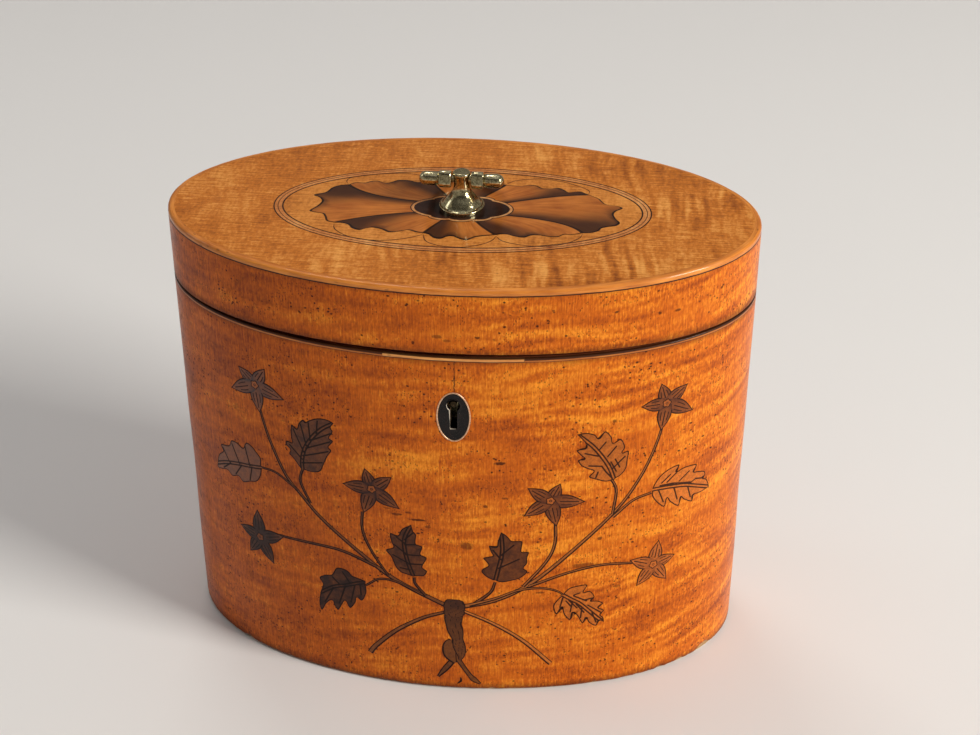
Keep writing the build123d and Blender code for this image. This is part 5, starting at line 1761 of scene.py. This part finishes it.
@dataclass
class Spray:
    """Flower spray let into the front: leaves, stars, stems and a tied ribbon."""

    form: CaseForm
    proud: float = 0.045
    sunk: float = 0.35
    rib_half: float = 0.42
    petal_half: float = 1.15
    petal_growth: float = 0.11
    disc_radius: float = 1.25
    steps: int = 70

    def build(self) -> None:
        """Build the four kinds of inlay."""
        self._leaves(CutInlay("stained_leaf", srgb(222, 118, 30), srgb(44, 16, 7), line_half=0.2).make())
        self._stars(CutInlay("stained_star", srgb(206, 108, 34), srgb(50, 19, 10), line_half=0.14).make())
        self._stems(CutInlay("stained_stem", srgb(216, 124, 46), srgb(62, 25, 10), outline_half=0.22).make())
        self._ribbon(CutInlay("stained_ribbon", srgb(140, 76, 18), srgb(44, 17, 8), line_half=0.2).make())

    def _plate(
        self, piece: Piece, flat: Array, lift: float, disc: bool = False, **values: Array | float
    ) -> None:
        """Add a thin plate that follows the front.

        Args:
            piece: Where it goes.
            flat: Places along and up the front.
            lift: How far it stands over the other inlays.
            disc: Whether the rows are rings that grow from one middle point.
            values: Tone, greyness (faded stain, with painted sheen at the far left), lines and margin, which
                the finish reads.
        """
        top = self.form.skin(flat[..., 0], flat[..., 1], self.proud + lift)
        bottom = self.form.skin(flat[..., 0], flat[..., 1], -self.sunk)
        piece.slab(top, bottom, flat, disc, **values)

    def _leaves(self, material: Material) -> None:
        """Leaves: t runs from base to tip, and w from the left margin over the rib to the right one."""
        piece = Piece("spray_leaf_inlays")
        rows, columns = 130, 24
        w = np.linspace(0, 1, columns)[None, :, None]
        for leaf in LEAVES:
            rib = resample(smooth_path(leaf.rib, 12), rows)
            margins = [resample(smooth_path(side, 8), rows) for side in (leaf.left, leaf.right)]
            left, right = (rib[:, None] * (1 - w) + margin[:, None] * w for margin in margins)
            flat = np.concatenate([left[:, :0:-1], right], 1)
            cuts = np.abs(away_from(flat, rib) - self.rib_half)
            for vein in leaf.veins:
                cuts = np.minimum(cuts, away_from(flat, np.array(vein)))
            margin = np.minimum(*(away_from(flat, side[::2]) for side in margins))
            self._plate(piece, flat, 0.006, tone=leaf.tone, greying_and_sheen=leaf.greying_and_sheen, lines=cuts, margin=margin)
        piece.make(material, "box", "stained_holly", "spray_leaves")
        log.info("spray leaves")

    def _stars(self, material: Material) -> None:
        """Stars: each petal runs from the middle to its tip, its half width W sin(pi (0.2 + 0.8 t))^1.1.

        W grows with the petal's length. Each petal has a crease and two short cuts beside it.
        """
        piece = Piece("spray_star_inlays")
        t = np.linspace(0, 1, 61)[:, None]
        w = np.linspace(-1, 1, 21)[None, :]
        for star in STARS:
            middle = np.array(star.middle)
            for index, tip in enumerate(np.array(star.tips)):
                length = float(np.linalg.norm(tip - middle))
                along = (tip - middle) / length
                side = np.array([-along[1], along[0]])
                width = self.petal_half + self.petal_growth * length
                half = width * np.sin(np.pi * (0.2 + 0.8 * t) * 0.9999) ** 1.1 + 0.02
                across = w * half
                flat = middle + (length * t * (1 + 0 * w))[..., None] * along + across[..., None] * side
                crease = np.where((t > 0.26) & (t < 0.82), np.abs(across), 3.0)
                ray = np.where((t > 0.3) & (t < 0.62), np.abs(np.abs(w) - 0.5) * half, 3.0)
                margin = np.where(t > 0.24, (1 - np.abs(w)) * half, 2.0)
                tone = star.tone + 0.25 * (np.abs(w) ** 2 - 0.3) - 0.3 * (t - 0.5)
                cuts = np.minimum(crease, ray + 0.03)
                lift = 0.012 + 0.003 * index
                self._plate(piece, flat, lift, tone=tone, greying_and_sheen=star.greying_and_sheen, lines=cuts, margin=margin)
            self._centre(piece, star, middle)
        piece.make(material, "box", "stained_flower", "spray_flowers")
        log.info("spray stars")

    def _centre(self, piece: Piece, star: Star, middle: Array) -> None:
        """Small paler disc in the middle of a star: rings whose radius swells five times.

        Args:
            piece: Where it goes.
            star: The star flower.
            middle: Its middle.
        """
        angle = np.linspace(0, 2 * np.pi, 41)[None, :]
        share = np.linspace(0, 1, 6)[:, None]
        radius = share * self.disc_radius * (1 + 0.12 * np.cos(5 * angle + star.tone * 9))
        flat = middle + np.stack([radius * np.cos(angle), radius * np.sin(angle)], -1)
        margin = (1 - share) * self.disc_radius + 0 * angle
        lines = np.abs(radius - 0.3) + 0.03
        tone = max(star.tone - 0.4, 0.0)
        self._plate(piece, flat, 0.034, True, tone=tone, greying_and_sheen=star.greying_and_sheen, lines=lines, margin=margin)

    def _strip(
        self, piece: Piece, path: Array, half: Array, tone: Array | float, lift: float, folded: bool = False
    ) -> None:
        """Strip of changing width along a path, dark at its edges, the lower edge of a stem more so.

        Args:
            piece: Where it goes.
            path: Places along and up the front.
            half: Half width at each place.
            tone: How dark it is.
            lift: How far it stands over the other inlays.
            folded: Whether it is ribbon, with folds cut along it.
        """
        side = beside(path)
        w = np.linspace(-1, 1, 13)[None, :]
        across = w * half[:, None]
        flat = path[:, None, :] + across[..., None] * side[:, None, :]
        lower = side[:, 1:] * w < 0
        margin = (1 - np.abs(w)) * half[:, None] + np.where(lower, -0.2, 0.0) * (not folded)
        walked = np.linspace(0, 1, len(path))[:, None]
        folds = np.abs(np.sin(5 * w + 5 * walked + 1.2 * np.sin(9 * walked))) * 0.75
        lines = folds if folded else np.full_like(across, 3.0)
        self._plate(piece, flat, lift, tone=tone, greying_and_sheen=0.0, lines=lines, margin=margin)

    def _stems(self, material: Material) -> None:
        """Stems: strips that taper along smooth ways."""
        piece = Piece("spray_stem_inlays")
        for index, stem in enumerate(STEMS):
            path = resample(smooth_path(stem.way, 10), self.steps)
            half = np.linspace(stem.first, stem.last, self.steps) / 2
            self._strip(piece, path, half, stem.tone, -0.012 + 0.001 * index)
        piece.make(material, "box", "stained_holly", "spray_stems")
        log.info("spray stems")

    def _ribbon(self, material: Material) -> None:
        """Ribbon: two tails, a loop, the twisted band and the knot, each with its half widths."""
        piece = Piece("spray_ribbon_inlays")
        bands = (
            (((1.8, 10.8, 0.9), (0.4, 8.6, 0.95), (-0.9, 6.7, 0.85), (-2.6, 4.2, 0.4)), 0.5, False),
            (
                ((1.9, 13.0, 0.6), (3.0, 10.6, 0.75), (4.4, 8.0, 0.7), (5.9, 5.4, 0.7), (7.2, 3.7, 0.85),
                 (8.9, 2.3, 0.35)),
                0.42, True,
            ),
            (((3.5, 4.3, 0.12), (3.6, 3.1, 0.3), (2.6, 2.1, 0.12)), 0.9, False),
            (
                ((1.2, 17.4, 0.5), (0.6, 16.4, 1.3), (0.5, 14.4, 1.9), (0.7, 12.4, 1.8), (1.3, 10.9, 1.3),
                 (2.1, 9.4, 0.5)),
                0.3, False,
            ),
            (
                ((1.9, 26.2, 2.5), (1.8, 24.6, 2.45), (1.9, 22.8, 2.15), (2.2, 21.2, 2.2),
                 (2.6, 19.4, 1.9), (2.9, 17.6, 1.55), (3.2, 15.6, 1.75), (3.6, 13.6, 1.5),
                 (3.7, 12.0, 1.0), (3.4, 10.6, 0.4)),
                0.72, True,
            ),
            (
                ((2.0, 31.3, 1.5), (2.0, 30.7, 2.4), (2.1, 29.2, 2.95), (2.1, 27.8, 2.75),
                 (2.0, 26.4, 2.8), (2.0, 25.6, 1.9)),
                0.92, True,
            ),
        )
        for index, (way, tone, folded) in enumerate(bands):
            path = resample(smooth_path(way, 12), self.steps)
            fade = tone - 0.35 * np.linspace(0, 1, self.steps)[:, None] * folded
            self._strip(piece, path[:, :2], path[:, 2], fade, 0.018 + 0.003 * index, folded)
        piece.make(material, "box", "stained_holly", "spray_ribbon")
        log.info("spray ribbon")


# The escutcheon


@dataclass
class Escutcheon:
    """Dark oval plate with a keyhole, and the thin pale rim round it."""

    form: CaseForm
    middle: Point = (2.6, 89.0)
    half: Point = (4.3, 7.3)
    rim_width: float = 0.42
    key_middle: float = 92.3
    key_radius: float = 1.65
    slot_half: float = 0.9
    slot_foot: float = 85.5
    eye_of_rays: float = 91.0

    def build(self) -> None:
        """Build the plate and its rim."""
        self._rim()
        self._plate()

    def _oval(self, angle: Array, inset: float) -> Array:
        """Outline of the escutcheon, drawn in."""
        along = self.middle[0] + (self.half[0] - inset) * np.cos(angle)
        up = self.middle[1] + (self.half[1] - inset) * np.sin(angle)
        return np.stack([along, up], -1)

    def _rim(self) -> None:
        """Rim: a rounded section carried round the oval."""
        angle = np.linspace(0, 2 * np.pi, 145)
        turn = np.linspace(0, 2 * np.pi, 17)
        inset = self.rim_width / 2 * (1 - np.cos(turn))
        proud = np.where(np.sin(turn) > 0, 0.16 * np.sin(turn), 0.9 * np.sin(turn))
        flat = np.stack([self._oval(angle, float(depth)) for depth in inset])
        points = self.form.skin(flat[..., 0], flat[..., 1], proud[:, None])
        walked = np.broadcast_to(angle * 5.8, points.shape[:2])
        plan = np.stack([walked, np.broadcast_to(turn[:, None] * 0.1, points.shape[:2])], -1)
        bright, dull, tarnish = srgb(244, 206, 170), srgb(196, 142, 104), srgb(90, 50, 32)
        finish = Brass("pale_rim", bright, dull, tarnish, age=0.3, shine=0.4)
        Piece("escutcheon_rim_ring").grid(points, plan).make(finish.make(), "box", "brass", "escutcheon_rim")
        log.info("escutcheon rim")

    def _key_edge(self, angle: Array) -> Array:
        """Distance from the eye of the rays to the keyhole's edge.

        Upwards the ray meets the circle: with d the height of its middle over the eye,
        r = d sin + sqrt(R^2 - d^2 cos^2). Downwards it meets the side or the foot of the slot.

        Args:
            angle: Directions of the rays.

        Returns:
            Distance along each ray.
        """
        offset = self.key_middle - self.eye_of_rays
        sine, cosine = np.sin(angle), np.cos(angle)
        inside = np.clip(self.key_radius**2 - (offset * cosine) ** 2, 0, None)
        circle = offset * sine + np.sqrt(inside)
        side = self.slot_half / np.maximum(np.abs(cosine), 1e-6)
        foot = (self.eye_of_rays - self.slot_foot) / np.maximum(-sine, 1e-6)
        slot = np.minimum(side, foot)
        return np.where(sine < 0, np.maximum(np.minimum(slot, 1e3), circle), circle)

    def _plate(self) -> None:
        """Plate: rings blended from the keyhole's edge out to the oval, dished, with the hole's wall."""
        angle = np.linspace(0, 2 * np.pi, 241)
        eye = np.array([self.middle[0], self.eye_of_rays])
        ray = np.stack([np.cos(angle), np.sin(angle)], -1)
        hole = eye + self._key_edge(angle)[:, None] * ray
        half_x, half_z = self.half[0] - self.rim_width + 0.06, self.half[1] - self.rim_width + 0.06
        rise = (self.eye_of_rays - self.middle[1]) / half_z
        a = (ray[:, 0] / half_x) ** 2 + (ray[:, 1] / half_z) ** 2
        b = 2 * ray[:, 1] * rise / half_z
        reach = (-b + np.sqrt(b**2 - 4 * a * (rise**2 - 1))) / (2 * a)
        outer = eye + reach[:, None] * ray
        share = np.array([0, 0, 0, 0.02, 0.05, 0.09, 0.14, 0.25, 0.4, 0.6, 0.8, 0.93, 1, 1, 0])[:, None, None]
        hole_wall = [-4.2, -0.6, -0.16, -0.05, -0.02]
        dish = [-0.05, -0.12, -0.16, -0.17, -0.15, -0.12, -0.1, -0.08]
        proud = np.array([*hole_wall, *dish, -1.0, -1.0])
        flat = hole + share * (outer - hole)
        points = self.form.skin(flat[..., 0], flat[..., 1], proud[:, None])
        points = np.concatenate([points, points[:1]])
        lip = np.interp(np.arange(len(points)), (1, 2, 4, 5), (0, 1, 1, 0))[:, None]
        # The wear value is a painted glint: pale on the keyhole's edge, most at the left and below, none at
        # the right and top.
        side = 0.42 - 0.52 * np.cos(angle - 0.35) - 0.3 * (np.sin(angle) > 0.8)
        piece = Piece("escutcheon_plate").grid(points, wear=lip * side)
        piece.make(Horn("horn").make(), "box", "ebony", "escutcheon")
        log.info("escutcheon plate")


# The handle


@dataclass
class Handle:
    """Brass handle: a turned post, and the bail with its bosses, arms and bar."""

    form: CaseForm
    foot: float = 5.8
    stem: float = 1.5
    shank: float = 5.75
    height: float = 10.5
    top_radius: float = 2.25
    pivot: float = 8.2
    boss_start: float = 2.5
    boss_end: float = 5.7
    boss_radius: float = 2.25
    arm_radius: float = 1.82
    arm_reach: float = 9.0
    bar_radius: float = 1.0
    bar_reach: float = 16.5
    tilt: float = 25.3

    def build(self) -> None:
        """Build the post and the bail."""
        finish = Brass("old_brass").make()
        self._post(finish)
        self._bail(finish)

    def _post(self, material: Material) -> None:
        """Post: a profile turned about the upright axis, with its shank down to the nut."""
        profile = (
            (0.0, -self.shank), (self.stem, -self.shank), (self.stem, 0.0), (5.25, 0.0), (5.3, 0.2),
            (5.3, 0.8), (5.36, 0.98), (self.foot - 0.12, 1.02), (self.foot, 1.1), (self.foot, 1.32),
            (self.foot - 0.12, 1.48), (self.foot - 0.4, 1.54), (5.1, 1.74), (4.8, 2.1), (4.5, 2.5),
            (4.18, 2.9), (3.85, 3.3), (3.5, 3.7), (3.14, 4.12), (2.8, 4.56), (2.48, 5.05), (2.22, 5.6),
            (2.05, 6.2), (1.96, 6.9), (1.94, 7.6), (1.96, 8.3), (2.02, 8.9), (2.1, 9.35),
            (self.top_radius, 9.62), (self.top_radius, 10.1), (2.1, 10.36), (1.8, self.height),
            (0.8, self.height - 0.04), (0.0, self.height - 0.06),
        )
        piece = Piece("handle_turned_post")
        piece.turned(self._softened(np.array(profile)), np.array([0.0, 0.0, self.form.top]), 2)
        piece.make(material, "lid", "brass", "handle_post")
        log.info("handle post")

    @staticmethod
    def _softened(line: Array) -> Array:
        """A profile with its corners cut twice, each time at a quarter of the way to its neighbours.

        Args:
            line: Radius and distance of each point.

        Returns:
            The softened profile.
        """
        for _ in range(2):
            near = 0.75 * line[:-1] + 0.25 * line[1:]
            far = 0.25 * line[:-1] + 0.75 * line[1:]
            middle = np.stack([near, far], 1).reshape(-1, 2)
            line = np.vstack([line[:1], middle, line[-1:]])
        return line

    def _bail(self, material: Material) -> None:
        """Bail: two bosses and arms turned about the pin, and a bar round the back, tilted down to rest."""
        piece = Piece("handle_bail_loop")
        origin = np.zeros(3)
        for side in (-1, 1):
            piece.grid(self._boss() * np.array([side, 1, 1]))
            bend = np.linspace(0, np.pi / 2, 9)
            tip = self.arm_radius * np.stack([np.cos(bend), np.sin(bend)], -1) + (0.0, self.arm_reach)
            start = self.boss_end - 0.5
            arm = np.vstack([
                (0.0, start), (1.4, start), (1.5, self.boss_end + 0.05), (1.7, self.boss_end + 0.3),
                (self.arm_radius, self.boss_end + 1.2), tip,
            ])
            arm[-1, 0] = 0.0
            arm[:, 1] *= side
            piece.turned(arm, origin, 0, 64)
        self._bar(piece)
        tilt = np.radians(-self.tilt)
        for points in piece.points:
            y, z = points[:, 1].copy(), points[:, 2].copy()
            points[:, 1] = y * np.cos(tilt) - z * np.sin(tilt)
            points[:, 2] = y * np.sin(tilt) + z * np.cos(tilt) + self.form.top + self.pivot
        piece.make(material, "bail", "brass", "handle_bail")
        log.info("handle bail")

    def _boss(self) -> Array:
        """Boss: a block with rounded corners, |y|^4 + |z|^4 = r^4 in section, hollow for the pin.

        Returns:
            Rings round the pin from its bore, over the inner end and the outside, and back to the bore.
        """
        turn = np.linspace(0, 2 * np.pi, 65)
        corner = (np.cos(turn) ** 4 + np.sin(turn) ** 4) ** -0.25
        first, last = self.boss_start, self.boss_end
        along = [first, first, first + 0.1, first + 0.4, last - 0.4, last - 0.1, last, last - 0.02, first]
        reach = np.array([0.78, 1.9, 2.1, self.boss_radius, self.boss_radius, 2.1, 1.86, 0.78, 0.78])
        shape = np.where(reach > 1.5, 1.0, 0.0)[:, None]
        radius = reach[:, None] * (shape * corner + 1 - shape) * np.where(shape > 0, 0.97, 1.0)
        along = np.array(along)[:, None] + 0 * radius
        return np.stack([along, radius * np.cos(turn), radius * np.sin(turn)], -1)

    def _bar(self, piece: Piece) -> None:
        """Bar of the bail: a round section along two straights and a half circle, thicker at its ends."""
        straight = self.bar_reach - self.arm_reach
        bend = np.linspace(0, np.pi, 61)
        arc = np.stack([self.arm_reach * np.cos(bend), straight + self.arm_reach * np.sin(bend)], -1)
        run = np.linspace(0, straight, 16)[:-1]
        first = np.stack([np.full_like(run, self.arm_reach), run], -1)
        path = np.vstack([first, arc, first[::-1] * np.array([-1, 1])])
        side = -beside(path)
        turn = np.linspace(0, 2 * np.pi, 33)
        ends = np.minimum(np.arange(len(path)), np.arange(len(path))[::-1]) / 14
        radius = self.bar_radius * (1 + 0.4 * np.exp(-(ends**2) * 3))
        level = radius[:, None] * np.cos(turn)
        points = np.concatenate([
            path[:, None, :] + level[..., None] * side[:, None, :],
            (radius[:, None] * np.sin(turn))[..., None],
        ], -1)
        piece.grid(points).cap(points[0]).cap(points[-1])


# Inner pieces that keep the frame's shapes


class Timber(Enum):
    """Woods of the inner pieces."""

    PINE_UPRIGHT = PlainWood("pine_upright", srgb(150, 110, 66), srgb(206, 170, 118), 2, 0.65)
    PINE_LEVEL = PlainWood("pine_level", srgb(142, 102, 60), srgb(200, 162, 110), 0, 0.65)
    MAHOGANY_LEVEL = PlainWood("mahogany_level", srgb(74, 32, 18), srgb(142, 72, 42), 0, 0.4, 0.5, 2.2)
    MAHOGANY_BAND = PlainWood("mahogany_band", srgb(84, 38, 22), srgb(150, 80, 48), 0, 0.4, 0.4, 2.2)
    CEDAR_LINING = PlainWood("cedar_lining", srgb(120, 76, 42), srgb(176, 124, 76), 2, 0.6)
    BOXWOOD_KNOB = PlainWood("boxwood_knob", srgb(176, 124, 62), srgb(222, 178, 112), 2, 0.35, 0.6)


@dataclass
class InnerPieces:
    """Finishes of the pieces whose shapes stay as the frame has them."""

    def build(self) -> None:
        """Dress every kept node."""
        lock_brass = Brass("lock_brass", age=0.8, shine=0.3).make()
        hinge_brass = Brass("hinge_brass", bright=srgb(188, 160, 96), age=0.7, shine=0.26).make()
        # The key pin's brass is made dark: painted shade of the keyhole in which it sits.
        pin_brass_in_painted_shade = Brass("pin_brass_in_painted_shade", srgb(70, 58, 40), srgb(40, 32, 20), age=0.8, shine=0.4).make()
        steel = Steel("lock_iron").make()
        foil = TinFoil("tin_foil").make()
        top = TopVeneer("satinwood_top").make()
        timbers = {timber: timber.value.make() for timber in Timber}
        dressing = {
            top: ("lid_top_veneer",),
            timbers[Timber.PINE_UPRIGHT]: ("carcass_wall", "lid_wall"),
            timbers[Timber.PINE_LEVEL]: ("base_board", "lid_board"),
            timbers[Timber.MAHOGANY_BAND]: ("rim_banding", "lid_rim_banding"),
            timbers[Timber.MAHOGANY_LEVEL]: ("inner_lid",),
            timbers[Timber.CEDAR_LINING]: ("ledge_lining",),
            timbers[Timber.BOXWOOD_KNOB]: ("inner_lid_knob",),
            foil: ("foil_wall", "foil_floor"),
            lock_brass: ("lock_plate", "link_plate", "bail_pin", "handle_washer", "handle_nut"),
            pin_brass_in_painted_shade: ("key_pin",),
            hinge_brass: tuple(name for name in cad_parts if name.startswith("hinge_")),
            steel: (
                "lock_case", "bolt_stump", "lock_bolt", "bolt_spring", "lock_ward",
                "lock_screws", "link_screws",
            ),
        }
        for material, names in dressing.items():
            for name in names:
                self._dress(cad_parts[name], material)
        log.info("inner pieces")

    @staticmethod
    def _dress(node: bpy.types.Object, material: Material) -> None:
        """Put a finish in every slot of a node."""
        for slot in node.material_slots:
            slot.material = material


# The studio


@dataclass(frozen=True)
class Lamp:
    """A soft square lamp: place, what it looks at, size, power and colour."""

    name: str
    place: Triple
    aim: Triple
    size: tuple[float, float]
    power: float
    colour: Triple = (1.0, 1.0, 1.0)


@dataclass
class Studio:
    """Pale floor, soft lamps and the camera at the photograph's angle. Metres here."""

    floor_radius: float = 3.2
    floor_bend: float = 1.0
    wall_height: float = 3.2
    lens: float = 68.69
    sensor: float = 36.0
    camera_place: Triple = (0.05309, -0.42181, 0.34540)
    right: Triple = (0.99423, 0.10723, -0.00178)
    up: Triple = (-0.05576, 0.53103, 0.84552)
    forward: Triple = (-0.09161, 0.84054, -0.53394)
    lamps: tuple[Lamp, ...] = (
        Lamp("key", (1.42, -0.56, 0.88), (0.0, 0.0, 0.06), (0.55, 0.55), 29.5, (1.0, 0.98, 0.95)),
        Lamp("window", (-0.8, 0.1, 0.55), (0.0, 0.0, 0.09), (0.18, 0.4), 0.45, (0.88, 0.93, 1.0)),
        Lamp("overhead", (-0.22, 0.42, 1.0), (0.0, 0.0, 0.12), (0.3, 0.2), 1.5, (1.0, 0.98, 0.96)),
    )

    def build(self) -> None:
        """Build the floor, the world, the lamps and the camera."""
        self._floor()
        self._world()
        for lamp in self.lamps:
            self._lamp(lamp)
        self._camera()
        scene = bpy.context.scene
        scene.view_settings.view_transform = "Standard"
        log.info("studio")

    def _floor(self) -> None:
        """Round floor: a disc, then a quarter circle up into a wall far off on every side."""
        bend = np.linspace(0, np.pi / 2, 13)
        reach = self.floor_radius + self.floor_bend * np.sin(bend)
        rise = self.floor_bend * (1 - np.cos(bend))
        radius = np.concatenate([[0.0, 1.0, 2.2], reach, reach[-1:]])[:, None]
        height = np.concatenate([[0.0, 0.0, 0.0], rise, [self.wall_height]])[:, None]
        turn = np.linspace(0, 2 * np.pi, 73)[None, :]
        points = np.stack(np.broadcast_arrays(radius * np.cos(turn), radius * np.sin(turn), height), -1)
        mesh = bpy.data.meshes.new("floor")
        rows, columns = points.shape[:2]
        index = np.arange(rows * columns).reshape(rows, columns)
        faces = np.stack([index[:-1, :-1], index[:-1, 1:], index[1:, 1:], index[1:, :-1]], -1).reshape(-1, 4)
        mesh.from_pydata(points.reshape(-1, 3), [], faces.tolist())
        mesh.shade_smooth()
        mesh.materials.append(Floor("floor").make())
        floor = bpy.data.objects.new("floor", mesh)
        bpy.context.scene.collection.objects.link(floor)

    def _world(self) -> None:
        """Grey light that grows paler from the skyline up to the zenith."""
        world = bpy.data.worlds.new("room")
        bpy.context.scene.world = world
        world.use_nodes = True
        tree = world.node_tree
        background = tree.nodes["Background"]
        bench = Bench(tree=tree)
        direction = bench.node("ShaderNodeTexCoord", output="Generated")
        _, back, up = bench.parts(direction)
        glow = bench.step(up + back * 0.25, 0.45, 1.1)
        colour = bench.mix(glow, srgb(50, 48, 46), srgb(196, 196, 200))
        tree.links.new(colour.socket, background.inputs["Color"])
        background.inputs["Strength"].default_value = 0.9

    def _lamp(self, lamp: Lamp) -> None:
        """Add a lamp."""
        data = bpy.data.lights.new(lamp.name, "AREA")
        data.shape = "RECTANGLE"
        data.size, data.size_y = lamp.size
        data.energy = lamp.power
        data.color = lamp.colour
        made = bpy.data.objects.new(lamp.name, data)
        bpy.context.scene.collection.objects.link(made)
        back = np.array(lamp.place) - np.array(lamp.aim)
        back /= np.linalg.norm(back)
        across = np.cross([0.0, 0.0, 1.0], back)
        across /= np.linalg.norm(across)
        self._stand(made, across, np.cross(back, across), back, lamp.place)

    def _camera(self) -> None:
        """Add the camera."""
        data = bpy.data.cameras.new("camera")
        data.lens = self.lens
        data.sensor_width = self.sensor
        data.sensor_fit = "HORIZONTAL"
        data.clip_start = 0.01
        camera = bpy.data.objects.new("camera", data)
        bpy.context.scene.collection.objects.link(camera)
        self._stand(camera, self.right, self.up, -np.array(self.forward), self.camera_place)
        bpy.context.scene.camera = camera

    @staticmethod
    def _stand(made: bpy.types.Object, right: Any, up: Any, back: Any, place: Any) -> None:
        """Stand an object by its three directions and its place.

        Args:
            made: The object.
            right: Direction of its own X.
            up: Direction of its own Y.
            back: Direction of its own Z.
            place: Where it stands.
        """
        columns = np.eye(4)
        columns[:3, 0], columns[:3, 1], columns[:3, 2], columns[:3, 3] = right, up, back, place
        made.matrix_world = Matrix(columns.tolist())


def corners(box: Sequence[Any]) -> list[list[float]]:
    """A box's two corners as plain lists."""
    return [[float(value) for value in corner] for corner in box]


def main() -> None:
    """Build the caddy around the frame."""
    logging.basicConfig(level=logging.INFO, format="%(name)s: %(message)s")
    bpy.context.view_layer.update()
    form = CaseForm()
    for part in (
        Studio(),
        CaseSkin(form),
        EdgeLines(form),
        Patera(form),
        Spray(form),
        Escutcheon(form),
        Handle(form),
        InnerPieces(),
    ):
        part.build()


if __name__ == "__main__":
    main()
